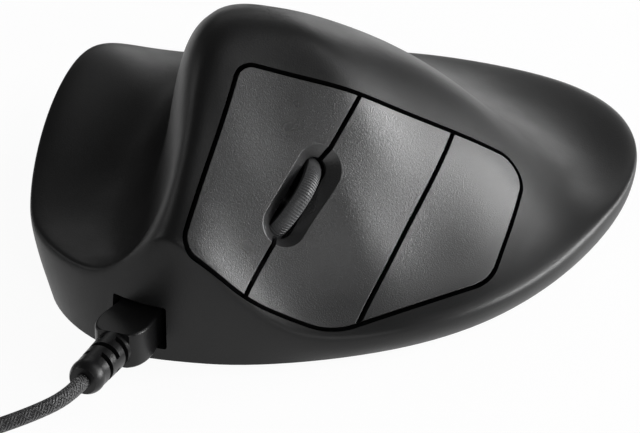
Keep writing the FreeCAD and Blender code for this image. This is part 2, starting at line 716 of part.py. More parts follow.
def wheel_cradle(centre):
    """Rocking frame of the wheel: two plates, a bar on the pivot and a bar over the click switch."""
    low, high = cradle_sides()
    x, y, wheel_z = centre
    py, pz = CRADLE_PIVOT
    plates = []
    for start in (low - CRADLE_PLATE, high):
        arm = box(start, start + CRADLE_PLATE, py, CRADLE_FRONT - 1.5, CRADLE_LOW, CRADLE_HIGH)
        boss = rod(HUB_BOSS, (start, y, wheel_z), (start + CRADLE_PLATE, y, wheel_z))
        eye = rod(CRADLE_EYE, (start, py, pz), (start + CRADLE_PLATE, py, pz))
        plates.append(arm.fuse([boss, eye]))
    rear = rod(CRADLE_EYE, (low - CRADLE_PLATE, py, pz), (high + CRADLE_PLATE, py, pz))
    tip = board_top() + CLICK_HEIGHT + CLICK_RISE + TOUCH
    front = box(low - CRADLE_PLATE, high + CRADLE_PLATE, CRADLE_FRONT - 6, CRADLE_FRONT, tip, CRADLE_HIGH + 0.4)
    solid = plates[0].fuse([plates[1], rear, front])
    solid = solid.cut(rod(AXLE_RADIUS + RUNNING, (x - 20, y, wheel_z), (x + 20, y, wheel_z)))
    solid = solid.cut(rod(PIN_RADIUS + RUNNING, (x - 20, py, pz), (x + 20, py, pz)))
    return solid.removeSplitter()


def encoder(centre):
    """Scroll encoder on the cradle's side, which the axle's end turns in."""
    start, end = encoder_span()
    _, y, wheel_z = centre
    body = box(start, end, y - 4.4, y + 4.4, wheel_z - 4.2, wheel_z + 4.0)
    return body.cut(rod(AXLE_RADIUS + RUNNING, (start - 1, y, wheel_z), (end - 0.8, y, wheel_z)))


def wheel_disc(radius, width, centre):
    x, y, z = centre
    return rod(radius, (x - width / 2, y, z), (x + width / 2, y, z))


def wheel_hub(centre):
    """Hub with a thin web between a boss and a rim."""
    inner = WHEEL_RADIUS - TYRE
    hub = wheel_disc(inner, WHEEL_WIDTH - 2 * HUB_INSET, centre)
    hollow = wheel_disc(inner - HUB_RIM, WHEEL_WIDTH, centre).cut(wheel_disc(HUB_BOSS, WHEEL_WIDTH, centre))
    hub = hub.cut(hollow.cut(wheel_disc(inner, HUB_WEB, centre)))
    return hub.cut(wheel_disc(AXLE_RADIUS, 2 * WHEEL_WIDTH, centre))


def tyre(centre):
    """Rubber tyre with cross ribs and rounded shoulders."""
    half = WHEEL_WIDTH / 2
    points = []
    for k in range(2 * TYRE_RIBS + 1):
        angle = math.pi * k / TYRE_RIBS
        reach = WHEEL_RADIUS - (TYRE_RIB if k % 2 else 0.0)
        points.append(Vector(reach * math.cos(angle), reach * math.sin(angle), -half))
    ribbed = Part.Face(Part.makePolygon(points)).extrude(Vector(0, 0, WHEEL_WIDTH))
    inner = WHEEL_RADIUS - TYRE
    outer = WHEEL_RADIUS + 0.05
    wall = outer - TYRE_SHOULDER
    bend = 0.3 * TYRE_SHOULDER
    low = [Vector(inner, 0, -half), Vector(wall, 0, -half), Vector(outer - bend, 0, bend - half),
           Vector(outer, 0, TYRE_SHOULDER - half)]
    high = [Vector(p.x, 0, -p.z) for p in low]
    edges = [Part.LineSegment(low[0], low[1]).toShape()]
    edges.append(Part.Arc(*low[1:]).toShape())
    edges.append(Part.LineSegment(low[3], high[3]).toShape())
    edges.append(Part.Arc(high[3], high[2], high[1]).toShape())
    edges.append(Part.LineSegment(high[1], high[0]).toShape())
    edges.append(Part.LineSegment(high[0], low[0]).toShape())
    barrel = Part.Face(Part.Wire(edges)).revolve(Vector(0, 0, 0), Vector(0, 0, 1), 360)
    out = barrel.common(ribbed)
    out.Placement = Placement(centre, Rotation(Vector(0, 1, 0), 90))
    return out


def axle(centre):
    low, _ = cradle_sides()
    x0 = low - CRADLE_PLATE
    x1 = encoder_span()[1] - 1.0
    _, y, z = centre
    return rod(AXLE_RADIUS, (x0, y, z), (x1, y, z))


def plug_frame():
    """Placement of the plug: its Y runs into the mouse."""
    return Placement(Vector(*PLUG_PLACE), Rotation(Vector(0, 0, 1), -PLUG_YAW))


def in_plug(shape):
    out = shape.copy()
    out.Placement = plug_frame().multiply(out.Placement)
    return out


def tube_block(width, start, end, height, corner):
    """Block along the plug's axis with its long edges rounded."""
    hx, hz = width / 2, height / 2
    wire = rounded([(-hx, -hz), (hx, -hz), (hx, hz), (-hx, hz)], [corner] * 4)
    solid = Part.Face(wire).extrude(Vector(0, 0, end - start))
    solid.Placement = Placement(Vector(0, end, 0), Rotation(Vector(1, 0, 0), 90))
    return solid


def upper_shell(outer, inner, midway, outer_face):
    """Sculpted housing: skin, screw bosses, plug recess, and the opening for the button panels."""
    shell = outer.cut(inner)
    extras = []
    for x, y in BOSSES:
        extras.append(rod(BOSS_RADIUS, (x, y, PLATE_TOP), (x, y, 70)).common(midway))
    width = RECESS_WIDTH + 2 * RECESS_WALL
    height = RECESS_HEIGHT + 2 * RECESS_WALL
    cover = in_plug(tube_block(width, -8, RECESS_DEPTH + RECESS_WALL, height, 1.0))
    cover = cover.cut(box(-60, 20, -100, -40, -5, PLATE_TOP))
    shell = shell.fuse(extras + [cover]).common(outer)
    recess = in_plug(tube_block(RECESS_WIDTH, -20, RECESS_DEPTH, RECESS_HEIGHT, 0.6))
    shell = shell.cut(recess)
    gap = 0.1
    way_in = in_plug(tube_block(SOCKET[0] + 2 * gap, 0, RECESS_DEPTH + 5, SOCKET[2] + 2 * gap, 0.6))
    shell = shell.cut(way_in)
    opening = prism(face_outline(), -FACE_DEPTH, 22)
    shell = shell.cut(on_face(opening))
    for x, y in BOSSES:
        shell = shell.cut(rod(SCREW_RADIUS, (x, y, PLATE_TOP - 1), (x, y, PLATE_TOP + SCREW_LENGTH)))
    return max(shell.Solids, key=lambda s: s.Volume)


def base_plate(cavity):
    """Flat base with countersunk screws, standoffs, the sensor window, the power slot and the battery's tray."""
    slab = box(-90, 90, -90, 90, FOOT_HEIGHT, PLATE_TOP)
    plate = cavity.common(slab)
    for x, y in BOSSES:
        plate = plate.cut(rod(SCREW_RADIUS + 0.2, (x, y, 0), (x, y, PLATE_TOP + 1)))
        plate = plate.cut(rod(SCREW_HEAD_RADIUS + 0.2, (x, y, 0), (x, y, FOOT_HEIGHT + 1.5)))
    x, y = SENSOR_PLACE
    plate = plate.cut(block((7.0, 6.0, 10.0), (x, y, -2), 1.0))
    x, y = POWER_PLACE
    plate = plate.cut(block((4.0 + POWER_TRAVEL, 3.4, 10.0), (x, y, -2), 0.5))
    plate = plate.cut(block((7.0 + POWER_TRAVEL, 6.0, 1.2), (x, y, FOOT_HEIGHT - 0.2), 1.0))
    for x, y in board_posts():
        plate = plate.fuse(rod(2.2, (x, y, PLATE_TOP - 0.5), (x, y, main_board_top() - BOARD)))
    x, y = BATTERY_PLACE
    sx, sy, _ = BATTERY_SIZE
    tray = block((sx + 2.6, sy + 2.6, 2.5), (x, y, PLATE_TOP - 0.5), 2.5)
    tray = tray.cut(block((sx + 0.4, sy + 0.4, 5.0), (x, y, PLATE_TOP - 1), 1.6))
    return plate.fuse(tray).removeSplitter()


def main_board_top():
    return PLUG_PLACE[2] - SOCKET[2] / 2


def board_posts():
    return [(-26.0, -42.0), (-17.0, -12.0), (-31.0, 34.0), (18.0, 36.0), (18.0, -2.0)]


def main_board():
    """Main circuit board over the base, with a tongue that carries the socket."""
    corners = [(-30.5, -55), (-15.5, -55), (-13, -6), (22, -6), (22, 40), (-35, 40), (-35, -6)]
    wire = rounded(corners, [1.5] * len(corners))
    top = main_board_top()
    board = prism(wire, top - BOARD, top)
    x, y = SENSOR_PLACE
    return board.cut(block((5.0, 4.0, 8.0), (x, y, top - 4), 0.8))


def sensor_chip():
    x, y = SENSOR_PLACE
    return block((11.0, 10.0, 2.2), (x, y, main_board_top()), 0.4)


def sensor_lens():
    """Clear lens block under the board, with a snout in the base's window."""
    x, y = SENSOR_PLACE
    top = main_board_top() - BOARD
    flange = block((12.0, 9.0, top - PLATE_TOP), (x, y, PLATE_TOP), 1.0)
    snout = block((6.6, 5.6, 1.6), (x, y, PLATE_TOP - 1.6), 0.9)
    return flange.fuse(snout).removeSplitter()


def power_switch():
    """Body of the slide switch that stands on the base."""
    x, y = POWER_PLACE
    body = block((10.0, 4.6, 4.4), (x, y, PLATE_TOP), 0.4)
    body = body.cut(block((2.0 + POWER_TRAVEL + 2 * RUNNING, 1.6, 2.0), (x, y, PLATE_TOP - 1), 0.3))
    return body


def power_knob():
    """Knob in the base's recess, shown switched on: a grip below and a stem into the switch."""
    x, y = POWER_PLACE
    start = x - POWER_TRAVEL / 2
    grip = block((3.6, 3.2, 1.9), (start, y, FOOT_HEIGHT + 0.15), 0.5)
    for k in range(3):
        notch = start - 1.0 + k * 1.0
        grip = grip.cut(box(notch - 0.2, notch + 0.2, y - 2, y + 2, FOOT_HEIGHT - 1, FOOT_HEIGHT + 0.4))
    stem = block((2.0, 1.4, 1.3), (start, y, FOOT_HEIGHT + 1.9), 0.3)
    return grip.fuse(stem).removeSplitter()


def screw(x, y):
    """Self-tapping screw with a cross recess."""
    seat = FOOT_HEIGHT + 1.5
    head = rod(SCREW_HEAD_RADIUS, (x, y, seat - SCREW_HEAD), (x, y, seat))
    shank = rod(SCREW_RADIUS, (x, y, seat), (x, y, seat + SCREW_LENGTH))
    out = head.fuse(shank)
    for width, depth in ((2.6, 0.6), (0.6, 2.6)):
        out = out.cut(box(x - width / 2, x + width / 2, y - depth / 2, y + depth / 2, 0, seat - SCREW_HEAD + 0.7))
    return out.removeSplitter()


def glide_foot(x, y, length, width, turn):
    """Low-friction pad with a soft edge."""
    wire = stadium(length, width)
    pad = prism(wire, 0, FOOT_HEIGHT)
    pad = pad.makeChamfer(0.25, [e for e in pad.Edges if e.BoundBox.ZMax < 0.01])
    pad.Placement = Placement(Vector(x, y, 0), Rotation(Vector(0, 0, 1), turn - 90))
    return pad


def usb_socket():
    """Socket behind the recess, with its contact tongue."""
    w, length, h = SOCKET
    start = RECESS_DEPTH
    body = tube_block(w, start, start + length, h, 0.5)
    bw, bl, bh = SOCKET_BORE
    bore = tube_block(bw, start - 1, start + bl, bh, 0.4)
    tongue = box(-2.3, 2.3, start + 1.2, start + bl + 0.5, -0.35, 0.35)
    return in_plug(body.cut(bore).fuse(tongue))


def plug_shell():
    """Metal shell of the plug."""
    w, length, h = PLUG_SHELL
    start = RECESS_DEPTH - 0.3
    shell = tube_block(w, start, RECESS_DEPTH + length, h, 0.4)
    hollow = tube_block(w - 2 * SHELL_WALL, start + 1.0, RECESS_DEPTH + length + 1, h - 2 * SHELL_WALL, 0.2)
    return in_plug(shell.cut(hollow))


def plug_body():
    """Overmould of the plug: straight in the recess, swelling into a grip and drawn in round the boot."""
    half = OVERMOULD_WIDTH / 2
    grip = GRIP_WIDTH / 2
    start = RECESS_DEPTH - 0.3
    end = -OVERMOULD_OUT
    neck = GRIP_NECK / 2
    side = [(half, -1.0), ((half + grip) / 2, -0.55 * GRIP_PLACE), (grip, -GRIP_PLACE), (grip - 0.1, 0.72 * end),
            ((grip + neck) / 2, 0.92 * end), (neck, end)]
    right = [Vector(x, y, 0) for x, y in side]
    left = [Vector(-x, y, 0) for x, y in reversed(side)]
    edges = []
    for points in (right, left):
        curve = Part.BSplineCurve()
        curve.interpolate(points)
        edges.append(curve.toShape())
    edges.insert(1, Part.LineSegment(right[-1], left[0]).toShape())
    edges.append(Part.LineSegment(left[-1], Vector(-half, start, 0)).toShape())
    edges.append(Part.LineSegment(Vector(-half, start, 0), Vector(half, start, 0)).toShape())
    edges.append(Part.LineSegment(Vector(half, start, 0), right[0]).toShape())
    h = OVERMOULD_HEIGHT
    body = prism(Part.Wire(edges), -h / 2, h / 2)
    flat = [e for e in body.Edges if abs(abs(e.Vertexes[0].Z) - h / 2) < 0.01 and e.BoundBox.ZLength < 0.01]
    return in_plug(body.makeFillet(0.7, [e for e in flat if e.BoundBox.YLength > 1]))


def boot():
    """Tapered strain relief with crossing slots, a thicker end and the cord's way through it."""
    start = -OVERMOULD_OUT
    end = start - BOOT_LENGTH
    mouth = BOOT_END_RADIUS - 0.7
    profile = [Vector(0, start, 0), Vector(BOOT_RADIUS, start, 0), Vector(BOOT_RADIUS - 0.35, end + 3.6, 0)]
    edges = [Part.LineSegment(profile[0], profile[1]).toShape()]
    edges.append(Part.LineSegment(profile[1], profile[2]).toShape())
    bulge = Part.Arc(profile[2], Vector(BOOT_END_RADIUS, end + 1.4, 0), Vector(mouth, end, 0))
    edges.append(bulge.toShape())
    edges.append(Part.LineSegment(Vector(mouth, end, 0), Vector(0, end, 0)).toShape())
    edges.append(Part.LineSegment(Vector(0, end, 0), profile[0]).toShape())
    solid = Part.Face(Part.Wire(edges)).revolve(Vector(0, 0, 0), Vector(0, 1, 0), 360)
    core = rod(BOOT_CORE, (0, end - 1, 0), (0, start + 1, 0))
    big = 2 * BOOT_RADIUS
    for k in range(BOOT_SLOTS):
        y = start - BOOT_SLOT_START - k * BOOT_SLOT_STEP
        slot = box(-big, big, y - BOOT_SLOT / 2, y + BOOT_SLOT / 2, -big, big).cut(core)
        if k % 2 == 0:
            keep = box(-BOOT_SPINE, BOOT_SPINE, y - big, y + big, -big, big)
        else:
            keep = box(-big, big, y - big, y + big, -BOOT_SPINE, BOOT_SPINE)
        solid = solid.cut(slot.cut(keep))
    return in_plug(solid)


def boot_end():
    return plug_frame().multVec(Vector(0, -OVERMOULD_OUT - BOOT_LENGTH, 0))


def route(points, name):
    """Path of straight runs joined by tangent arcs as large as the runs allow."""
    edges = []
    last = points[0]
    radii = []
    for before, corner, after in zip(points, points[1:], points[2:]):
        to_before = before - corner
        to_after = after - corner
        reach = 0.45 * min(to_before.Length, to_after.Length)
        to_before.normalize()
        to_after.normalize()
        half_turn = (math.pi - to_before.getAngle(to_after)) / 2
        radius = reach / math.tan(half_turn)
        radii.append(round(radius, 1))
        start = corner + to_before * reach
        end = corner + to_after * reach
        way_in = (to_before + to_after).normalize()
        top = corner + way_in * (radius / math.cos(half_turn) - radius)
        edges.append(Part.LineSegment(last, start).toShape())
        edges.append(Part.Arc(start, top, end).toShape())
        last = end
    edges.append(Part.LineSegment(last, points[-1]).toShape())
    print(name, "radii", radii)
    return Part.Wire(edges)


def cord_tube(path, start, way, name):
    """Round cord along a path."""
    circle = Part.Wire([Part.Circle(start, way, CORD / 2).toShape()])
    tube = path.makePipeShell([circle], True, False)
    ideal = math.pi * (CORD / 2) ** 2 * path.Length
    print(name, "length", round(path.Length, 1), "volume against section times length", round(tube.Volume / ideal, 4))
    return tube


def biarc(p0, t0, p1, t1):
    """Two tangent arcs from p0 along t0 to p1 along t1, with equal reaches."""
    v = p1 - p0
    t = t0 + t1
    spread = 2 * (t0.dot(t1) - 1)
    b = -2 * v.dot(t)
    c = v.dot(v)
    reach = (-b - math.sqrt(b * b - 4 * spread * c)) / (2 * spread)
    q0 = p0 + t0 * reach
    q1 = p1 - t1 * reach
    joint = (q0 + q1) / 2
    return [tangent_arc(p0, q0, joint), tangent_arc(joint, q1, p1)]


def tangent_arc(start, corner, end):
    """Arc that touches start to corner and corner to end."""
    to_start = (start - corner).normalize()
    to_end = (end - corner).normalize()
    half = to_start.getAngle(to_end) / 2
    away = (start - corner).Length / math.cos(half)
    radius = (start - corner).Length * math.tan(half)
    middle = corner + (to_start + to_end).normalize() * (away - radius)
    return Part.Arc(start, middle, end).toShape()


def coil_low():
    """Height of the cord's middle in the coil's lower layer, which lies on its tie."""
    return TIE + 0.1 + CORD / 2


def coil_stations():
    """Points and ways at every half turn: in on the lower layer, up at the middle, out on the upper one."""
    heading = math.radians(COIL_HEADING)
    way = Vector(math.cos(heading), math.sin(heading), 0)
    out_way = Vector(-way.y, way.x, 0)
    radii = [COIL_RADIUS - k * COIL_PITCH / 2 for k in range(COIL_HALF_TURNS + 1)]
    radii[-1] -= COIL_HEART
    radii = radii + radii[::-1]
    stations = []
    for k, radius in enumerate(radii):
        height = coil_low() + (COIL_PITCH if k > COIL_HALF_TURNS else 0.0)
        sign = 1 if k % 2 == 0 else -1
        place = Vector(COIL_CENTRE[0], COIL_CENTRE[1], height) + out_way * (radius * sign)
        stations.append((place, way * sign))
    return stations


def coil_ends():
    """Start and end of the coil's node, a straight cord diameter outside its turns, with their ways."""
    stations = coil_stations()
    first, way_in = stations[0]
    last, way_out = stations[-1]
    return first - way_in * CORD, way_in, last + way_out * CORD, way_out


def least_gap(edges):
    """Least air between turns of the coil that aren't next to each other along the cord."""
    points = []
    along = 0.0
    for edge in edges:
        count = 12
        for k in range(count):
            step = edge.Length * k / count
            points.append((along + step, edge.valueAt(edge.getParameterByLength(step))))
        along += edge.Length
    least = 1e9
    for i, (si, a) in enumerate(points):
        for sj, b in points[i + 1:]:
            if sj - si > 4 * CORD:
                least = min(least, (a - b).Length)
    return least - CORD


def coil():
    stations = coil_stations()
    start, way_in, end, _ = coil_ends()
    edges = [Part.LineSegment(start, stations[0][0]).toShape()]
    for (p0, t0), (p1, t1) in zip(stations, stations[1:]):
        edges += biarc(p0, t0, p1, t1)
    edges.append(Part.LineSegment(stations[-1][0], end).toShape())
    print("coil least gap", round(least_gap(edges), 3))
    return cord_tube(Part.Wire(edges), start, way_in, "coil")


def coil_tie():
    """Soft strap round the coil's side away from the climbing half turn."""
    inner_reach = COIL_RADIUS - (COIL_HALF_TURNS - 0.5) * COIL_PITCH / 2 - COIL_HEART / 2 - CORD / 2
    shift = (COIL_PITCH / 2 + COIL_HEART) / 2
    near = math.sqrt(inner_reach ** 2 - (TIE_WIDTH / 2 + shift) ** 2) - 0.3
    far = COIL_RADIUS - 1.5 * COIL_PITCH / 2 + CORD / 2 + 0.3
    low = TIE
    high = coil_low() + COIL_PITCH + CORD / 2 + 0.1
    outline = rounded([(near - TIE, 0), (far + TIE, 0), (far + TIE, high + TIE), (near - TIE, high + TIE)], [1.4] * 4)
    window = rounded([(near, low), (far, low), (far, high), (near, high)], [0.6] * 4)
    half = TIE_WIDTH / 2
    strap = prism(outline, -half, half).cut(prism(window, -half - 1, half + 1))
    upright = Placement(Vector(0, 0, 0), Rotation(Vector(1, 0, 0), 90))
    turn = Placement(Vector(COIL_CENTRE[0], COIL_CENTRE[1], 0),
                     Rotation(Vector(0, 0, 1), COIL_HEADING + 180))
    strap.Placement = turn.multiply(upright)
    return strap


def lead_tube():
    start = boot_end()
    way = plug_frame().Rotation.multVec(Vector(0, -1, 0))
    end, way_in, _, _ = coil_ends()
    before_coil = end - way_in * 11.0
    points = [start, start + way * LEAD_START] + [Vector(*p) for p in LEAD_POINTS] + [before_coil, end]
    return cord_tube(route(points, "lead"), start, way, "lead")


def tail_points():
    """Points of the short stretch from the coil to the computer's plug, turning to the left."""
    _, _, start, way = coil_ends()
    points = [start]
    heading = math.atan2(way.y, way.x)
    place = start
    for run, turn, drop in TAIL_TURNS:
        place = place + Vector(math.cos(heading), math.sin(heading), 0) * run + Vector(0, 0, drop)
        points.append(place)
        heading += math.radians(turn)
    return points


def tail_tube():
    points = tail_points()
    _, _, start, way = coil_ends()
    return cord_tube(route(points, "tail"), start, way, "tail")


def usb_frame():
    """Placement of the computer's plug: its Y runs on from the cord's end, lying flat."""
    points = tail_points()
    way = points[-1] - points[-2]
    turn = math.degrees(math.atan2(way.y, way.x)) - 90
    return Placement(points[-1], Rotation(Vector(0, 0, 1), turn))


def in_usb(shape):
    out = shape.copy()
    out.Placement = usb_frame().multiply(out.Placement)
    return out


def usb_boot():
    """Tapered strain relief of the computer's plug."""
    small = Part.Wire([Part.Circle(Vector(0, 0, 0), Vector(0, 1, 0), CORD / 2 + 0.5).toShape()])
    large = Part.Wire([Part.Circle(Vector(0, USB_BOOT, 0), Vector(0, 1, 0), USB_BODY[2] / 2 - 0.7).toShape()])
    solid = Part.makeLoft([small, large], True, True)
    core = rod(CORD / 2 + 0.2, (0, -1, 0), (0, USB_BOOT + 1, 0))
    for k in range(3):
        y = 2.4 + k * 2.8
        solid = solid.cut(box(-6, 6, y - 0.5, y + 0.5, -6, 6).cut(core).cut(box(-1, 1, 0, 20, -6, 6)))
    return in_usb(solid)


def usb_body():
    w, length, h = USB_BODY
    body = tube_block(w, USB_BOOT, USB_BOOT + length, h, 2.2)
    ends = [e for e in body.Edges if e.BoundBox.YLength < 0.01]
    return in_usb(body.makeFillet(1.0, ends))


def usb_shell():
    """Metal shell with its two latch windows, top and bottom."""
    w, length, h = USB_SHELL
    start = USB_BOOT + USB_BODY[1]
    shell = tube_block(w, start, start + length, h, 0.6)
    hollow = tube_block(w - 2 * SHELL_WALL, start + 1, start + length + 1, h - 2 * SHELL_WALL, 0.3)
    shell = shell.cut(hollow)
    for side in (-1, 1):
        x = side * 2.9
        shell = shell.cut(box(x - 1.2, x + 1.2, start + length - 8, start + length - 5.6, -4, 4))
    return in_usb(shell)


def usb_tongue():
    """Plastic contact carrier inside the metal shell."""
    w, length, h = USB_SHELL
    start = USB_BOOT + USB_BODY[1] + 1
    low = -h / 2 + SHELL_WALL
    return in_usb(box(-w / 2 + 0.6, w / 2 - 0.6, start, start + length - 2, low, low + 1.8))


def build():
    """Every sub-part by its node's name."""
    sheet = Sheet(skin_points())
    outer = skin_solid(sheet)
    inner = skin_solid(sheet, WALL)
    midway = skin_solid(sheet, WALL / 2)
    cavity = skin_solid(sheet, WALL + BASE_GAP)
    outer_face = to_face(outer)
    centre = wheel_centre(outer_face)
    parts = {"upper_shell": upper_shell(outer, inner, midway, outer_face), "base_plate": base_plate(cavity)}
    parts["button_chassis"] = chassis()
    parts["button_board"] = on_face(button_board())
    for name, ((px, py), (sx, sy)) in BUTTONS.items():
        parts["button_" + name] = on_face(button(name, outer_face))
        parts["hinge_pin_" + name] = on_face(hinge_pin(px, py, PIN_DEPTH, ear_spread()))
        parts["switch_" + name] = on_face(microswitch(sx, sy))
        parts["plunger_" + name] = on_face(plunger(sx, sy))
    parts["wheel_cradle"] = on_face(wheel_cradle(centre))
    parts["cradle_pin"] = on_face(hinge_pin(WHEEL_PLACE[0], *CRADLE_PIVOT, cradle_ear_spread()))
    parts["wheel_encoder"] = on_face(encoder(centre))
    parts["wheel_hub"] = on_face(wheel_hub(centre))
    parts["wheel_tyre"] = on_face(tyre(centre))
    parts["wheel_axle"] = on_face(axle(centre))
    parts["switch_click"] = on_face(click_switch())
    parts["plunger_click"] = on_face(click_plunger())
    parts["main_board"] = main_board()
    parts["sensor_chip"] = sensor_chip()
    parts["sensor_lens"] = sensor_lens()
    parts["battery_cell"] = block(BATTERY_SIZE, (*BATTERY_PLACE, PLATE_TOP), 1.5)
    parts["power_switch"] = power_switch()
    parts["power_knob"] = power_knob()
    for k, (x, y) in enumerate(BOSSES):
        parts["screw_%d" % (k + 1)] = screw(x, y)
    for name, x, y, length, width, turn in FEET:
        parts[name] = glide_foot(x, y, length, width, turn)
    parts["usb_socket"] = usb_socket()
    parts["plug_shell"] = plug_shell()
    parts["plug_body"] = plug_body()
    parts["plug_boot"] = boot()
    parts["cord_lead"] = lead_tube()
    parts["cord_coil"] = coil()
    parts["coil_tie"] = coil_tie()
    parts["cord_tail"] = tail_tube()
    parts["usb_boot"] = usb_boot()
    parts["usb_body"] = usb_body()
    parts["usb_shell"] = usb_shell()
    parts["usb_tongue"] = usb_tongue()
    return parts


def main():
    os.makedirs("parts", exist_ok=True)
    for name, shape in build().items():
        shape.exportStep("parts/%s.step" % name)
        print(name, shape.isValid(), len(shape.Solids), round(shape.Volume, 1))


if __name__ == "__main__":
    main()
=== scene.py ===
# %% [markdown]
# # A left-handed ergonomic mouse, dressed for its portrait
# The mouse's solids come from a CAD model, in metres, each where it belongs. This file gives them their
# plastics, rounds what the moulds round, and makes the ribbed tyre and the braided lead again in finer
# form.
# %% The model as a fixed frame
import json
import math

import bmesh
import bpy
from mathutils import Matrix, Vector


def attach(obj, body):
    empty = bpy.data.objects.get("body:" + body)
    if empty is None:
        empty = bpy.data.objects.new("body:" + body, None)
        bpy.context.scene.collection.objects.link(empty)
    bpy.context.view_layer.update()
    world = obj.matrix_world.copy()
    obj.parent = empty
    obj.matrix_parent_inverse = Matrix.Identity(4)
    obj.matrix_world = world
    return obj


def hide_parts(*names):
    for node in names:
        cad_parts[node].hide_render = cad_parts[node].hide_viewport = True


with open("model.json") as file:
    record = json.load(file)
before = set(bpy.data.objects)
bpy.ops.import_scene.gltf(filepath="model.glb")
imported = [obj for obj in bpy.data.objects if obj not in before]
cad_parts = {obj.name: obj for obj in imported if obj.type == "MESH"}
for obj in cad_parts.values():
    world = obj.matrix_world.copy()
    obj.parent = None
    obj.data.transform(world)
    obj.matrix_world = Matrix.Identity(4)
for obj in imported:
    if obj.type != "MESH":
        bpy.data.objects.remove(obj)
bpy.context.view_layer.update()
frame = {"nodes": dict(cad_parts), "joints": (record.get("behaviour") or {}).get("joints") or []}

MM = 0.001

# %% [markdown]
# ## The camera
# The photograph looks at the mouse from the little finger's side of its front, from well above. A long
# lens far away keeps the wing and the hump in proportion, so the camera stands nearly a metre off. It
# could be placed by hand in the viewport, but two angles and a distance are what one changes when the
# view is matched.
# %% Camera
AZIMUTH = math.radians(18)
ELEVATION = math.radians(27)
DISTANCE = 0.95
AIM = Vector((-4.65, 3.75, 0)) * MM
FOCAL_LENGTH = 219.4        # millimetres, on a sensor 36 mm wide
FAR_END = 20                # metres that the camera sees


def towards(azimuth, elevation):
    """Unit vector from the mouse into the studio: azimuth 0 is the front, 90 degrees the finger side."""
    flat = math.cos(elevation)
    return Vector((math.sin(azimuth) * flat, -math.cos(azimuth) * flat, math.sin(elevation)))


def look_from(thing, place, target):
    """Puts a camera or a lamp at a place and turns it to the target."""
    turn = (place - target).to_track_quat("Z", "Y")
    thing.matrix_world = Matrix.Translation(place) @ turn.to_matrix().to_4x4()


camera = bpy.data.objects.new("camera", bpy.data.cameras.new("camera"))
camera.data.lens = FOCAL_LENGTH
camera.data.clip_end = FAR_END
bpy.context.scene.collection.objects.link(camera)
look_from(camera, AIM + towards(AZIMUTH, ELEVATION) * DISTANCE, AIM)
bpy.context.scene.camera = camera
print("camera", [round(c, 3) for c in camera.matrix_world.translation])

# %% [markdown]
# ## Materials are small recipes
# Every plastic here is the same few nodes: a principled shader, a fine noise that dents the surface, and
# a second, slower noise that varies its gloss a little, as handling and the mould do. One helper lays out
# the nodes, and each material keeps its own colour and numbers. A photographed texture would do for one
# view, but it blurs close up and needs unwrapping. Object coordinates are metres, so a grain of half a
# millimetre is a noise scale of two thousand.


# %% Helpers for materials
def new_material(name):
    """Material with an empty principled shader. Returns it with its nodes, its links and the shader."""
    material = bpy.data.materials.new(name)
    material.use_nodes = True
    tree = material.node_tree
    return material, tree.nodes, tree.links, tree.nodes["Principled BSDF"]


def noise(nodes, links, source, size, detail=2.0, rough=0.5):
    """Noise whose features are about size metres across."""
    texture = nodes.new("ShaderNodeTexNoise")
    texture.inputs["Scale"].default_value = 1 / size
    texture.inputs["Detail"].default_value = detail
    texture.inputs["Roughness"].default_value = rough
    links.new(source, texture.inputs["Vector"])
    return texture.outputs["Fac"]


def spread(nodes, links, value, low, high, start=0.3, end=0.7):
    """Turns a noise into a range of values."""
    ramp = nodes.new("ShaderNodeMapRange")
    for key, number in (("From Min", start), ("From Max", end), ("To Min", low), ("To Max", high)):
        ramp.inputs[key].default_value = number
    links.new(value, ramp.inputs["Value"])
    return ramp.outputs["Result"]


def maths(nodes, links, operation, *values):
    """Result of a calculation whose terms are numbers or sockets."""
    node = nodes.new("ShaderNodeMath")
    node.operation = operation
    for socket, value in zip(node.inputs, values):
        if hasattr(value, "links"):
            links.new(value, socket)
        else:
            socket.default_value = value
    return node.outputs["Value"]


def dent(nodes, links, shader, height, depth):
    """Bumps the shader's surface by a height field that is depth metres deep."""
    bump = nodes.new("ShaderNodeBump")
    bump.inputs["Distance"].default_value = depth
    links.new(height, bump.inputs["Height"])
    links.new(bump.outputs["Normal"], shader.inputs["Normal"])


def tinted(nodes, links, shader, value, dark, light):
    """Base colour that runs from dark to light with a value."""
    mix = nodes.new("ShaderNodeMix")
    mix.data_type = "RGBA"
    mix.inputs["A"].default_value = (*dark, 1)
    mix.inputs["B"].default_value = (*light, 1)
    links.new(value, mix.inputs["Factor"])
    links.new(mix.outputs["Result"], shader.inputs["Base Color"])


# %% [markdown]
# Nearly everything on the mouse is moulded plastic or drawn metal, so two recipes do for most of it. A
# plastic takes its grain from the mould, and a metal its streaks from the die, so the one noise is round
# and the other is stretched along Y.
# %% Recipes for plastic and metal
GLOSS_DRIFT = 0.03          # how far the roughness of a plastic strays to either side
TONE_DRIFT = 0.12           # share by which its colour does
STREAK_DRIFT = 0.08         # how far the roughness of a metal strays
STREAK_STRETCH = 0.08       # a streak's width over its length
STREAK_DEPTH = 0.004 * MM
STREAK_SHADE = 0.9          # its darkest tone over the metal's own


def moulded(name, colour, gloss, grain, depth, patch=12 * MM, shine=0.5):
    """Spark-eroded plastic: a fine random grain, slightly uneven gloss, and a nearly even colour."""
    material, nodes, links, shader = new_material(name)
    place = nodes.new("ShaderNodeTexCoord").outputs["Object"]
    dent(nodes, links, shader, noise(nodes, links, place, grain, detail=3.0, rough=0.6), depth)
    slow = noise(nodes, links, place, patch)
    uneven = spread(nodes, links, slow, gloss - GLOSS_DRIFT, gloss + GLOSS_DRIFT)
    links.new(uneven, shader.inputs["Roughness"])
    darker = [c * (1 - TONE_DRIFT) for c in colour]
    lighter = [c * (1 + TONE_DRIFT) for c in colour]
    tinted(nodes, links, shader, slow, darker, lighter)
    shader.inputs["Specular IOR Level"].default_value = shine
    return material


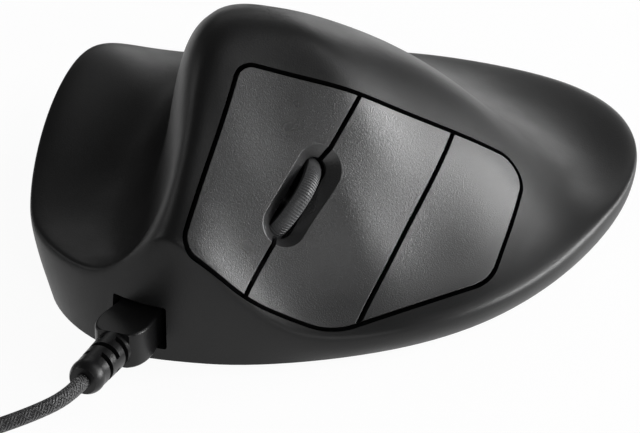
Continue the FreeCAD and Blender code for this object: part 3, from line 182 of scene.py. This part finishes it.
def metal(name, colour, gloss, streak=0.25 * MM):
    """Drawn or plated metal with faint streaks."""
    material, nodes, links, shader = new_material(name)
    place = nodes.new("ShaderNodeTexCoord").outputs["Object"]
    streaks = nodes.new("ShaderNodeMapping")
    streaks.inputs["Scale"].default_value = (1, STREAK_STRETCH, 1)
    links.new(place, streaks.inputs["Vector"])
    fine = noise(nodes, links, streaks.outputs["Vector"], streak)
    uneven = spread(nodes, links, fine, gloss - STREAK_DRIFT, gloss + STREAK_DRIFT)
    links.new(uneven, shader.inputs["Roughness"])
    dent(nodes, links, shader, fine, STREAK_DEPTH)
    tinted(nodes, links, shader, fine, [c * STREAK_SHADE for c in colour], colour)
    shader.inputs["Metallic"].default_value = 1
    return material


# %% [markdown]
# ## The plastics
# The housing is near black with a shallow eroded grain that hardly shows. The buttons come from another
# mould, glossier and with a deeper grain, so they look grey and sparkle where they mirror a lamp. The
# wheel's tyre is a paler rubber, and the plug's overmould is as dark as the housing but smoother. Each
# could have a node tree of its own, but one recipe with other numbers keeps them a family.
# %% Materials
# A plastic has its colour, its roughness, and the size and depth of its grain. A metal has the first two.
shell_plastic = moulded("shell_plastic", (0.007, 0.0071, 0.0073), 0.42, 0.42 * MM, 0.04 * MM, shine=0.4)
panel_plastic = moulded("panel_plastic", (0.016, 0.0162, 0.0166), 0.30, 0.33 * MM, 0.09 * MM, shine=1.0)
base_plastic = moulded("base_plastic", (0.015, 0.0152, 0.016), 0.5, 0.35 * MM, 0.04 * MM)
tyre_rubber = moulded("tyre_rubber", (0.10, 0.101, 0.104), 0.40, 0.3 * MM, 0.05 * MM)
hub_plastic = moulded("hub_plastic", (0.012, 0.012, 0.013), 0.35, 0.3 * MM, 0.01 * MM)
overmould_plastic = moulded(
    "overmould_plastic", (0.006, 0.006, 0.0064), 0.34, 0.25 * MM, 0.02 * MM, shine=0.35)
frame_plastic = moulded("frame_plastic", (0.08, 0.08, 0.085), 0.5, 0.4 * MM, 0.03 * MM)
switch_plastic = moulded("switch_plastic", (0.03, 0.03, 0.033), 0.4, 0.3 * MM, 0.01 * MM)
plunger_plastic = moulded("plunger_plastic", (0.7, 0.68, 0.62), 0.35, 0.3 * MM, 0.005 * MM)
glide_plastic = moulded("glide_plastic", (0.05, 0.05, 0.052), 0.3, 0.6 * MM, 0.01 * MM, patch=4 * MM)
knob_plastic = moulded("knob_plastic", (0.03, 0.03, 0.032), 0.3, 0.3 * MM, 0.01 * MM)
cell_foil = metal("cell_foil", (0.7, 0.71, 0.72), 0.35, 1.5 * MM)
bright_steel = metal("bright_steel", (0.6, 0.6, 0.61), 0.25)
black_steel = metal("black_steel", (0.09, 0.09, 0.095), 0.4)
plug_metal = metal("plug_metal", (0.68, 0.67, 0.65), 0.28)


# %% [markdown]
# The board, the lens and the strap are no plain plastics. The board's copper traces lie under green
# varnish, which a cell pattern with square distances suggests. The lens lets light through, and the strap
# is a pile of loops. Each could be modelled in full detail, but they sit inside the mouse or are a few
# millimetres wide.


# %% Special materials
def circuit_board(pitch=2.5 * MM, relief=0.03 * MM):
    """Solder mask over copper: green, glossy, with slightly raised traces in a square pattern."""
    material, nodes, links, shader = new_material("circuit_board")
    place = nodes.new("ShaderNodeTexCoord").outputs["Object"]
    traces = nodes.new("ShaderNodeTexVoronoi")
    traces.distance = "MANHATTAN"
    traces.feature = "F1"
    traces.inputs["Scale"].default_value = 1 / pitch
    links.new(place, traces.inputs["Vector"])
    ridge = spread(nodes, links, traces.outputs["Distance"], 0, 1, 0.45, 0.55)
    tinted(nodes, links, shader, ridge, (0.008, 0.07, 0.03), (0.02, 0.13, 0.06))
    dent(nodes, links, shader, ridge, relief)
    shader.inputs["Roughness"].default_value = 0.3
    return material


def clear_lens(wave=2 * MM, relief=0.01 * MM):
    """Clear moulded acrylic with a slightly wavy surface."""
    material, nodes, links, shader = new_material("clear_lens")
    place = nodes.new("ShaderNodeTexCoord").outputs["Object"]
    dent(nodes, links, shader, noise(nodes, links, place, wave), relief)
    shader.inputs["Base Color"].default_value = (0.9, 0.93, 0.95, 1)
    shader.inputs["Transmission Weight"].default_value = 0.9
    shader.inputs["Roughness"].default_value = 0.08
    return material


def strap_fabric(loop=0.45 * MM, relief=0.25 * MM):
    """Hook-and-loop strap: a dense pile of tiny loops."""
    material, nodes, links, shader = new_material("strap_fabric")
    place = nodes.new("ShaderNodeTexCoord").outputs["Object"]
    loops = noise(nodes, links, place, loop, detail=4.0, rough=0.7)
    tinted(nodes, links, shader, loops, (0.006, 0.006, 0.006), (0.05, 0.05, 0.052))
    dent(nodes, links, shader, loops, relief)
    shader.inputs["Roughness"].default_value = 0.9
    shader.inputs["Sheen Weight"].default_value = 0.4
    return material


board_mask = circuit_board()
lens_clear = clear_lens()
strap_black = strap_fabric()
print("materials", len(bpy.data.materials))

# %% [markdown]
# ## Pieces that are already right
# Most nodes have their true shape, so they only get their material. Their meshes are loose triangles,
# which look faceted on a curve, so the curved ones that show are copied, their corners merged, and shaded
# smooth except across real edges. The copy then stands for the node. Blender can find the sharp edges
# itself, but it misses some where many triangles meet, so the rule is written out here.
# %% Helpers for nodes
ROUNDING_STEPS = 3
ROUNDED_FROM = 25           # degrees that an edge turns by, to be rounded


def smooth(mesh, angle):
    """Shades a mesh smooth except across edges that turn by more than an angle."""
    work = bmesh.new()
    work.from_mesh(mesh)
    work.normal_update()
    for face in work.faces:
        face.smooth = True
    for edge in work.edges:
        sides = edge.link_faces
        edge.smooth = len(sides) == 2 and sides[0].normal.angle(sides[1].normal, 0) < math.radians(angle)
    work.to_mesh(mesh)
    work.free()


def merged(name, material, body, angle=28, rounding=0.0, weld=0.002 * MM):
    """Smooth copy of a node, with its sharp edges rounded a little where a size is given."""
    node = frame["nodes"][name]
    mesh = node.data.copy()
    work = bmesh.new()
    work.from_mesh(mesh)
    bmesh.ops.remove_doubles(work, verts=work.verts, dist=weld)
    work.to_mesh(mesh)
    work.free()
    smooth(mesh, angle)
    mesh.materials.clear()
    mesh.materials.append(material)
    piece = bpy.data.objects.new(name + "_smooth", mesh)
    bpy.context.scene.collection.objects.link(piece)
    if rounding:
        bevel = piece.modifiers.new("rounding", "BEVEL")
        bevel.width = rounding
        bevel.segments = ROUNDING_STEPS
        bevel.limit_method = "ANGLE"
        bevel.angle_limit = math.radians(ROUNDED_FROM)
        bevel.use_clamp_overlap = False
        bevel.harden_normals = True
    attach(piece, body)
    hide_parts(name)
    return piece


# %% [markdown]
# Frames, boards, switches, pins, screws and feet are small and mostly hidden, so one material each is
# enough. They could get it one by one, but a list of materials with their nodes is easier to read and to
# change.
# %% Nodes that keep their shape
NODE_MATERIALS = [
    (base_plastic, ["base_plate"]),
    (frame_plastic, ["button_chassis", "wheel_cradle"]),
    (board_mask, ["button_board", "main_board"]),
    (switch_plastic, ["switch_index", "switch_middle", "switch_ring", "switch_click"]),
    (switch_plastic, ["wheel_encoder", "sensor_chip"]),
    (plunger_plastic, ["plunger_index", "plunger_middle", "plunger_ring", "plunger_click"]),
    (bright_steel, ["hinge_pin_index", "hinge_pin_middle", "hinge_pin_ring", "cradle_pin"]),
    (bright_steel, ["wheel_axle", "power_switch"]),
    (black_steel, ["screw_1", "screw_2", "screw_3", "screw_4"]),
    (glide_plastic, ["foot_front", "foot_back", "foot_left", "foot_right"]),
    (hub_plastic, ["wheel_hub", "usb_tongue"]),
    (lens_clear, ["sensor_lens"]),
    (cell_foil, ["battery_cell"]),
    (knob_plastic, ["power_knob"]),
    (plug_metal, ["usb_socket", "plug_shell", "usb_shell"]),
    (strap_black, ["coil_tie"]),
]
for material, names in NODE_MATERIALS:
    for name in names:
        node = frame["nodes"][name]
        node.data.materials.clear()
        node.data.materials.append(material)
print("dressed", sum(len(names) for material, names in NODE_MATERIALS), "nodes")

# %% [markdown]
# ## The sculpted skin and the three buttons
# The housing's light runs over it in long soft bands, and any facet would break them, so it is merged and
# smoothed. A subdivision surface would be softer still, but it would pull the openings out of shape. The
# button panels have a small moulded radius on their edges, which catches the light as a thin line beside
# each black gap. A bevel makes it. Corners closer than the weld are joined first, because slivers there
# would grow into spikes.
# %% Housing and buttons
PANEL_ANGLE = 8             # degrees: the dish round the wheel meets the panel at a shallow edge
PANEL_ROUNDING = 0.12 * MM
PANEL_WELDS = {"index": 0.22 * MM, "middle": 0.22 * MM, "ring": 0.4 * MM}

housing = merged("upper_shell", shell_plastic, "housing")
for finger, weld in PANEL_WELDS.items():
    merged("button_" + finger, panel_plastic, finger + "_button", angle=PANEL_ANGLE,
           rounding=PANEL_ROUNDING, weld=weld)
print("housing", len(housing.data.polygons), "faces")

# %% [markdown]
# The grips and boots of both plugs are one soft plastic, moulded over the metal and the cord. The solids
# already have their slots and rounded corners, so they need no modelling, only smooth shading and the
# overmould's finish.
# %% Plugs
for name in ("plug_body", "plug_boot", "usb_body", "usb_boot"):
    grip = merged(name, overmould_plastic, "cable")
    print(grip.name, len(grip.data.polygons), "faces")

# %% [markdown]
# ## The tyre's ribs
# The rubber tyre has a hundred fine ribs across its tread, for grip. They repeat round one axle, which is
# what Geometry Nodes do best: one rib is a thin bar along the tread's crown, and a point for each rib
# turns a copy of it round the axle by its share of a full turn. An array modifier would do it too, but it
# needs a second object for the turn. The ring that carries the ribs is a simple lathe.
# %% The wheel's own frame
TYRE_WIDTH = 3.8 * MM
TYRE_BORE = 9.6 * MM
CROWN_EDGE = 10.95 * MM         # radius where the tread meets the tyre's flat side
CROWN_PEAK = 12.55 * MM         # handle over the tread's middle
CROWN_STEPS = 12
RING_STEPS = 144
TYRE_ANGLE = 35                 # degrees: edges of the tyre that turn by more stay sharp
RIBS = 104
RIB_RADIUS = 0.17 * MM
RIB_INSET = 0.06                # share of the tread's width that a rib leaves free at each end
RIB_SINK = 0.02 * MM            # how far its middle lies under the handle
RIB_STEPS = 8
RIB_SIDES = 6

turning = [joint for joint in frame["joints"] if joint["name"] == "wheel_turn"][0]
axle_place = Matrix.Translation(Vector(turning["pos_m"]))
wheel_place = axle_place @ Vector(turning["axis"]).to_track_quat("Z", "Y").to_matrix().to_4x4()
print("axle at", [round(c, 4) for c in wheel_place.translation])


def crown(share):
    """Tread's line from one side to the other: place along the axle, and radius."""
    across = (share - 0.5) * TYRE_WIDTH
    radius = CROWN_EDGE * ((1 - share) ** 2 + share ** 2) + CROWN_PEAK * 2 * share * (1 - share)
    return across, radius


def lathe(name, profile, steps):
    """Closed ring turned from a closed profile of places along the axis and radii."""
    work = bmesh.new()
    rings = []
    for k in range(steps):
        angle = 2 * math.pi * k / steps
        spoke = Vector((math.cos(angle), math.sin(angle), 0))
        places = [spoke * radius + Vector((0, 0, across)) for across, radius in profile]
        rings.append([work.verts.new(place) for place in places])
    for k, ring in enumerate(rings):
        following = rings[(k + 1) % steps]
        for i in range(len(profile)):
            n = (i + 1) % len(profile)
            work.faces.new((ring[i], following[i], following[n], ring[n]))
    bmesh.ops.recalc_face_normals(work, faces=work.faces)
    mesh = bpy.data.meshes.new(name)
    work.to_mesh(mesh)
    work.free()
    return mesh


# %% [markdown]
# In the node tree, a rib's line is a flat arch over the tread and its section a small hexagon. Each
# point's index, divided by the number of ribs, is its share of the turn. The tree takes the number,
# thickness and material as inputs, so all of them can be changed in the modifier.


# %% The ribs' node tree
def rib_tree():
    """Node tree that adds ribs to a ring: inputs are their number, thickness and material."""
    tree = bpy.data.node_groups.new("tyre_ribs", "GeometryNodeTree")
    sockets = tree.interface
    sockets.new_socket("Ring", in_out="INPUT", socket_type="NodeSocketGeometry")
    count = sockets.new_socket("Ribs", in_out="INPUT", socket_type="NodeSocketInt")
    thick = sockets.new_socket("Rib radius", in_out="INPUT", socket_type="NodeSocketFloat")
    rubber = sockets.new_socket("Rubber", in_out="INPUT", socket_type="NodeSocketMaterial")
    sockets.new_socket("Tyre", in_out="OUTPUT", socket_type="NodeSocketGeometry")
    add, link = tree.nodes.new, tree.links.new
    given = add("NodeGroupInput")
    line = add("GeometryNodeCurveQuadraticBezier")
    line.inputs["Resolution"].default_value = RIB_STEPS
    low, edge = crown(RIB_INSET)
    line.inputs["Start"].default_value = (edge, 0, low)
    line.inputs["Middle"].default_value = (CROWN_PEAK - RIB_SINK, 0, 0)
    line.inputs["End"].default_value = (edge, 0, -low)
    section = add("GeometryNodeCurvePrimitiveCircle")
    section.inputs["Resolution"].default_value = RIB_SIDES
    link(given.outputs["Rib radius"], section.inputs["Radius"])
    bar = add("GeometryNodeCurveToMesh")
    bar.inputs["Fill Caps"].default_value = True
    link(line.outputs["Curve"], bar.inputs["Curve"])
    link(section.outputs["Curve"], bar.inputs["Profile Curve"])
    points = add("GeometryNodePoints")
    link(given.outputs["Ribs"], points.inputs["Count"])
    index = add("GeometryNodeInputIndex")
    share = maths(tree.nodes, tree.links, "DIVIDE", index.outputs["Index"], given.outputs["Ribs"])
    spin = add("ShaderNodeCombineXYZ")
    link(maths(tree.nodes, tree.links, "MULTIPLY", share, 2 * math.pi), spin.inputs["Z"])
    turn = add("FunctionNodeEulerToRotation")
    link(spin.outputs["Vector"], turn.inputs["Euler"])
    place = add("GeometryNodeInstanceOnPoints")
    link(points.outputs["Points"], place.inputs["Points"])
    link(bar.outputs["Mesh"], place.inputs["Instance"])
    link(turn.outputs["Rotation"], place.inputs["Rotation"])
    both = add("GeometryNodeJoinGeometry")
    link(place.outputs["Instances"], both.inputs["Geometry"])
    link(given.outputs["Ring"], both.inputs["Geometry"])
    solid = add("GeometryNodeRealizeInstances")
    link(both.outputs["Geometry"], solid.inputs["Geometry"])
    painted = add("GeometryNodeSetMaterial")
    link(solid.outputs["Geometry"], painted.inputs["Geometry"])
    link(given.outputs["Rubber"], painted.inputs["Material"])
    result = add("NodeGroupOutput")
    link(painted.outputs["Geometry"], result.inputs["Tyre"])
    return tree, {count.identifier: RIBS, thick.identifier: RIB_RADIUS, rubber.identifier: tyre_rubber}


def grown(name, mesh, tree, values):
    """Object whose mesh is what a node tree makes of a first mesh, as plain geometry."""
    carrier = bpy.data.objects.new(name + "_seed", mesh)
    bpy.context.scene.collection.objects.link(carrier)
    modifier = carrier.modifiers.new("growth", "NODES")
    modifier.node_group = tree
    for identifier, value in values.items():
        modifier[identifier] = value
    carrier.update_tag()
    result = bpy.data.meshes.new_from_object(carrier.evaluated_get(bpy.context.evaluated_depsgraph_get()))
    bpy.data.objects.remove(carrier)
    result.name = name
    piece = bpy.data.objects.new(name, result)
    bpy.context.scene.collection.objects.link(piece)
    return piece


# %% [markdown]
# The tread's line is turned into a ring, and the tree adds the ribs. The modifier could stay live, but
# the tyre has to lie on the tilted axle with its own origin at the scene's, so its mesh is frozen and
# moved there.
# %% The tyre
tread = [crown(k / CROWN_STEPS) for k in range(CROWN_STEPS + 1)]
profile = [(-TYRE_WIDTH / 2, TYRE_BORE)] + tread + [(TYRE_WIDTH / 2, TYRE_BORE)]
tyre = grown("ribbed_tyre", lathe("tyre_ring", profile, RING_STEPS), *rib_tree())
tyre.data.transform(wheel_place)
smooth(tyre.data, TYRE_ANGLE)
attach(tyre, "wheel")
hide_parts("wheel_tyre")
print("tyre", len(tyre.data.polygons), "faces")

# %% [markdown]
# ## The lead
# A braided lead is limp: it leaves the boot straight, turns away at once and sinks to the desk. Its route
# is a short list of places with one smooth spline through their neighbourhood. The length that the
# photograph doesn't show is wound into a coil beside the mouse, in two layers that spiral in and out
# again. The corners of each half turn lie on a sixteen-sided polygon round it, which the spline touches
# at every side's middle. Real physics could drop the lead into place, but then it would no longer follow
# its solids.
# %% The lead's route
CORD = 3.5 * MM
PLUG_PLACE = Vector((-22.0, -74.2, 8.7)) * MM       # on the plug's axis, in the mouth of its recess
PLUG_YAW = math.radians(4.5)
BOOT_END = 30.6 * MM                                # from there to the end of the boot
LEAD_START = 7.5 * MM                               # straight on out of the boot
LEAD_POINTS = [(-29.8, -118.7, 7.5), (-38.0, -124.6, 5.2), (-48.6, -132.4, 3.3)]        # millimetres
COIL_CENTRE = Vector((-92.0, -128.0, 0)) * MM
COIL_RADIUS = 31.4 * MM
COIL_PITCH = 3.95 * MM                              # between turns and between layers
COIL_HEART = 1.2 * MM                               # extra step inwards where the layers meet
COIL_HALF_TURNS = 10                                # in each layer
COIL_LOW = 2.65 * MM                                # height of the lower layer's middle
COIL_HEADING = math.radians(213)                    # the way the lead runs into the coil
RUN_INTO_COIL = 11 * MM
CORNERS = 8                                         # of the route in each half turn
LINE_STEPS = 5                                      # of the spline between two points
CLOSEST = 0.01 * MM                                 # line points nearer than this are one
TAIL_TURNS = [              # run in millimetres, turn after it in degrees, rise along it in millimetres
    (10.5, 38.0, 0.0),
    (12.0, 30.0, -1.4),
    (12.0, 0.0, 0.0),
]

out_of_plug = Vector((-math.sin(PLUG_YAW), -math.cos(PLUG_YAW), 0))
exit_point = PLUG_PLACE + out_of_plug * BOOT_END
into_coil = Vector((math.cos(COIL_HEADING), math.sin(COIL_HEADING), 0))
across_coil = Vector((-into_coil.y, into_coil.x, 0))
print("lead leaves the boot at", [round(c, 4) for c in exit_point])


# %% The corners of the route
def coil_corners():
    """Corners of all half turns, and the radius at which the coil starts and ends."""
    radii = [COIL_RADIUS - k * COIL_PITCH / 2 for k in range(COIL_HALF_TURNS + 1)]
    radii[-1] -= COIL_HEART
    radii = radii + radii[::-1]
    corners = []
    for k, (start, end) in enumerate(zip(radii, radii[1:])):
        sign = 1 if k % 2 == 0 else -1
        low = COIL_LOW if k <= COIL_HALF_TURNS else COIL_LOW + COIL_PITCH
        climb = COIL_PITCH if k == COIL_HALF_TURNS else 0
        middle = COIL_CENTRE + across_coil * sign * (start - end) / 2
        reach = (start + end) / 2 / math.cos(math.pi / 2 / CORNERS)
        for j in range(CORNERS):
            angle = (j + 0.5) * math.pi / CORNERS
            flat = across_coil * math.cos(angle) + into_coil * math.sin(angle)
            share = (1 - math.cos(angle)) / 2
            corners.append(middle + flat * sign * reach + Vector((0, 0, low + climb * share)))
    return corners, radii[0]


def route():
    """All the lead's points, from the boot to the computer's plug."""
    corners, outer = coil_corners()
    first = COIL_CENTRE + across_coil * outer + Vector((0, 0, COIL_LOW))
    last = COIL_CENTRE - across_coil * outer + Vector((0, 0, COIL_LOW + COIL_PITCH))
    points = [exit_point, exit_point + out_of_plug * LEAD_START]
    points += [Vector(p) * MM for p in LEAD_POINTS]
    points.append(first - into_coil * (CORD + RUN_INTO_COIL))
    points += corners
    place = last - into_coil * CORD
    heading = COIL_HEADING + math.pi
    for run, turn, rise in TAIL_TURNS:
        ahead = Vector((math.cos(heading), math.sin(heading), 0))
        place = place + (ahead * run + Vector((0, 0, rise))) * MM
        points.append(place)
        heading += math.radians(turn)
    return points


# %% [markdown]
# A NURBS curve of order three runs smoothly between its corners, touches the middle of every side and never
# overshoots, as a curve through all its points would. Its line is read back as points for the tube.


# %% The spline along the route
def spline_points(points, steps):
    """Points along the smooth spline of a route."""
    curve = bpy.data.curves.new("lead_line", "CURVE")
    curve.dimensions = "3D"
    spline = curve.splines.new("NURBS")
    spline.points.add(len(points) - 1)
    for knot, point in zip(spline.points, points):
        knot.co = (*point, 1)
    spline.order_u = 3
    spline.use_endpoint_u = True
    spline.resolution_u = steps
    carrier = bpy.data.objects.new("lead_line", curve)
    bpy.context.scene.collection.objects.link(carrier)
    line = bpy.data.meshes.new_from_object(carrier.evaluated_get(bpy.context.evaluated_depsgraph_get()))
    out = [line.vertices[0].co.copy()]
    for vertex in line.vertices:
        if (vertex.co - out[-1]).length > CLOSEST:
            out.append(vertex.co.copy())
    bpy.data.objects.remove(carrier)
    bpy.data.curves.remove(curve)
    bpy.data.meshes.remove(line)
    return out


line = spline_points(route(), LINE_STEPS)

# %% [markdown]
# A curve with a round bevel has no usable surface coordinates for a braid, so the lead is a mesh tube:
# rings of vertices square to the line, and a UV map that runs round the cord once and along it in cord
# diameters.


# %% The lead's tube
def tube(name, points, radius, sides):
    """Closed tube along points, with UVs: u runs round once, v runs along in cord diameters."""
    work = bmesh.new()
    grid = work.loops.layers.uv.new("braid")
    rings = []
    along = [0.0]
    side = Vector((0, 0, 1))
    for i, point in enumerate(points):
        ahead = points[min(i + 1, len(points) - 1)] - points[max(i - 1, 0)]
        ahead.normalize()
        side = (side - ahead * side.dot(ahead)).normalized()
        third = ahead.cross(side)
        if i:
            along.append(along[-1] + (point - points[i - 1]).length)
        ring = []
        for k in range(sides):
            angle = 2 * math.pi * k / sides
            ring.append(work.verts.new(point + (side * math.cos(angle) + third * math.sin(angle)) * radius))
        rings.append(ring)
    for i, (low, high) in enumerate(zip(rings, rings[1:])):
        for k in range(sides):
            n = (k + 1) % sides
            face = work.faces.new((low[k], low[n], high[n], high[k]))
            shares = ((k, i), (k + 1, i), (k + 1, i + 1), (k, i + 1))
            for loop, (u, v) in zip(face.loops, shares):
                loop[grid].uv = (u / sides, along[v] / (2 * radius))
            face.smooth = True
    work.faces.new(rings[0][::-1])
    work.faces.new(rings[-1])
    mesh = bpy.data.meshes.new(name)
    work.normal_update()
    work.to_mesh(mesh)
    work.free()
    piece = bpy.data.objects.new(name, mesh)
    bpy.context.scene.collection.objects.link(piece)
    return piece


# %% [markdown]
# The braid is two families of yarns that wind opposite ways and pass over and under each other. As
# geometry it would be thousands of thin tubes, so a node tree works out, for each place on the cord,
# which yarn lies on top and how high its crown is there. That height dents the surface, and it also
# tints it: the flecked yarn colour fades to near black in the low places between the yarns, as painted
# shade.
# %% The braid's material
YARNS = 10.0                # of each family, round the cord
LAY = 4.4                   # yarns passed in one cord diameter along it
FLECK = 0.35 * MM
YARN_DEPTH = 0.25 * MM
TUBE_SIDES = 16


def braided(name, dark, light):
    """Braid that follows the UV map of a tube, with painted shade in the low places between its yarns."""
    material, nodes, links, shader = new_material(name)
    uv = nodes.new("ShaderNodeUVMap")
    uv.uv_map = "braid"
    split = nodes.new("ShaderNodeSeparateXYZ")
    links.new(uv.outputs["UV"], split.inputs["Vector"])

    def work_out(operation, *values):
        return maths(nodes, links, operation, *values)

    def crown_of(family):
        return work_out("ABSOLUTE", work_out("SINE", work_out("MULTIPLY", family, math.pi)))

    def on_top(family):
        quarter = work_out("MULTIPLY", work_out("FLOOR", family), math.pi / 2)
        return work_out("GREATER_THAN", work_out("SINE", quarter), 0.5)

    round_way = work_out("MULTIPLY", split.outputs["X"], YARNS)
    long_way = work_out("MULTIPLY", split.outputs["Y"], LAY)
    left = work_out("ADD", round_way, long_way)
    right = work_out("SUBTRACT", round_way, long_way)
    pick = nodes.new("ShaderNodeMix")
    crossing = work_out("SUBTRACT", on_top(left), on_top(right))
    links.new(work_out("ABSOLUTE", crossing), pick.inputs["Factor"])
    links.new(crown_of(left), pick.inputs["A"])
    links.new(crown_of(right), pick.inputs["B"])
    height = pick.outputs["Result"]
    place = nodes.new("ShaderNodeTexCoord").outputs["Object"]
    fleck = noise(nodes, links, place, FLECK, detail=3.0, rough=0.7)
    # The yarns' flecked colour, darkened with their height: painted shade in the gaps between the yarns.
    tone = work_out("MULTIPLY", spread(nodes, links, fleck, 0.0, 1.0, 0.35, 0.65), height)
    tinted(nodes, links, shader, tone, dark, light)
    dent(nodes, links, shader, height, YARN_DEPTH)
    shader.inputs["Roughness"].default_value = 0.55
    shader.inputs["Sheen Weight"].default_value = 0.25
    return material


braid = braided("braid", (0.006, 0.006, 0.0065), (0.12, 0.12, 0.124))
lead = tube("braided_lead", line, CORD / 2, TUBE_SIDES)
lead.data.materials.append(braid)
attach(lead, "cable")
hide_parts("cord_lead", "cord_coil", "cord_tail")
on_lead = [frame["nodes"][n] for n in ("plug_shell", "coil_tie", "usb_shell", "usb_tongue")]
on_lead += [bpy.data.objects[n + "_smooth"] for n in ("plug_body", "plug_boot", "usb_boot", "usb_body")]

# %% [markdown]
# ## The studio
# The mouse stands on a white table among large soft lamps. Black plastic shows little of its own colour:
# what one sees is the lamps, mirrored and blurred, so each lamp is placed where a surface would mirror it
# to the camera. The two strong ones stand low at the little finger's side and grey the buttons and the
# wing. One at the front fills in the slope below them, and the weak ones behind and beside draw the rim,
# the hump and the thumb's flange. A photographed sky could light it too, but lamps can be moved one by one.
# %% Lamps
LAMP_SIZE = 0.45            # metres, each side
LAMP_DISTANCE = 1.4         # metres
WORLD_LIGHT = 0.1
LAMPS = [                   # name, azimuth, elevation, watts
    ("finger_lamp", 108, 8, 13.0),
    ("wing_lamp", 132, 8, 9.0),
    ("high_finger_lamp", 108, 28, 2.3),
    ("high_wing_lamp", 120, 50, 1.4),
    ("front_lamp", 36, 28, 3.3),
    ("rim_lamp", 180, 8, 1.4),
    ("back_lamp", 180, 28, 0.3),
    ("hump_lamp", -156, 28, 0.3),
    ("thumb_lamp", -84, 28, 1.2),
]


def softbox(name, azimuth, elevation, power):
    """Square lamp that faces the mouse."""
    lamp = bpy.data.lights.new(name, "AREA")
    lamp.shape = "SQUARE"
    lamp.size = LAMP_SIZE
    lamp.energy = power
    holder = bpy.data.objects.new(name, lamp)
    bpy.context.scene.collection.objects.link(holder)
    look_from(holder, AIM + towards(math.radians(azimuth), math.radians(elevation)) * LAMP_DISTANCE, AIM)


for name, azimuth, elevation, power in LAMPS:
    softbox(name, azimuth, elevation, power)

world = bpy.data.worlds.new("studio")
bpy.context.scene.world = world
world.use_nodes = True
world.node_tree.nodes["Background"].inputs["Color"].default_value = (1, 1, 1, 1)
world.node_tree.nodes["Background"].inputs["Strength"].default_value = WORLD_LIGHT
print("lamps", len(LAMPS), "watts", round(sum(lamp[-1] for lamp in LAMPS), 1))

# %% [markdown]
# The table is white laminate. Lit only by the lamps it would be grey at this exposure, so to the rays
# that come from the camera, from a mirroring surface or through a clear one it is mostly a glowing white.
# What is left of its own surface keeps the mouse's shadow. It lies a hair below the feet, because two
# faces in one plane flicker.
# %% Table
TABLE_REACH = 3             # metres from the middle to each side
TABLE_GAP = 0.05 * MM       # under the feet
TABLE_GLOW = 1.05
GLOWS_TO = {"Is Camera Ray": 0.9, "Is Transmission Ray": 0.9, "Is Glossy Ray": 0.8}


def table_surface():
    """White laminate, which some rays see as a glowing white, with the mouse's shadow left on it."""
    material, nodes, links, shader = new_material("table")
    shader.inputs["Base Color"].default_value = (0.85, 0.85, 0.85, 1)
    shader.inputs["Roughness"].default_value = 0.7
    glow = nodes.new("ShaderNodeEmission")
    glow.inputs["Strength"].default_value = TABLE_GLOW
    path = nodes.new("ShaderNodeLightPath")
    share = 0.0
    for ray, part in GLOWS_TO.items():
        share = maths(nodes, links, "MULTIPLY_ADD", path.outputs[ray], part, share)
    mix = nodes.new("ShaderNodeMixShader")
    links.new(share, mix.inputs["Fac"])
    links.new(shader.outputs["BSDF"], mix.inputs[1])
    links.new(glow.outputs["Emission"], mix.inputs[2])
    links.new(mix.outputs["Shader"], nodes["Material Output"].inputs["Surface"])
    return material


work = bmesh.new()
lowered = Matrix.Translation((0, 0, -TABLE_GAP))
bmesh.ops.create_grid(work, x_segments=1, y_segments=1, size=TABLE_REACH, matrix=lowered)
table_mesh = bpy.data.meshes.new("table")
work.to_mesh(table_mesh)
work.free()
table_mesh.materials.append(table_surface())
table = bpy.data.objects.new("table", table_mesh)
bpy.context.scene.collection.objects.link(table)

bpy.context.scene.view_settings.view_transform = "Standard"
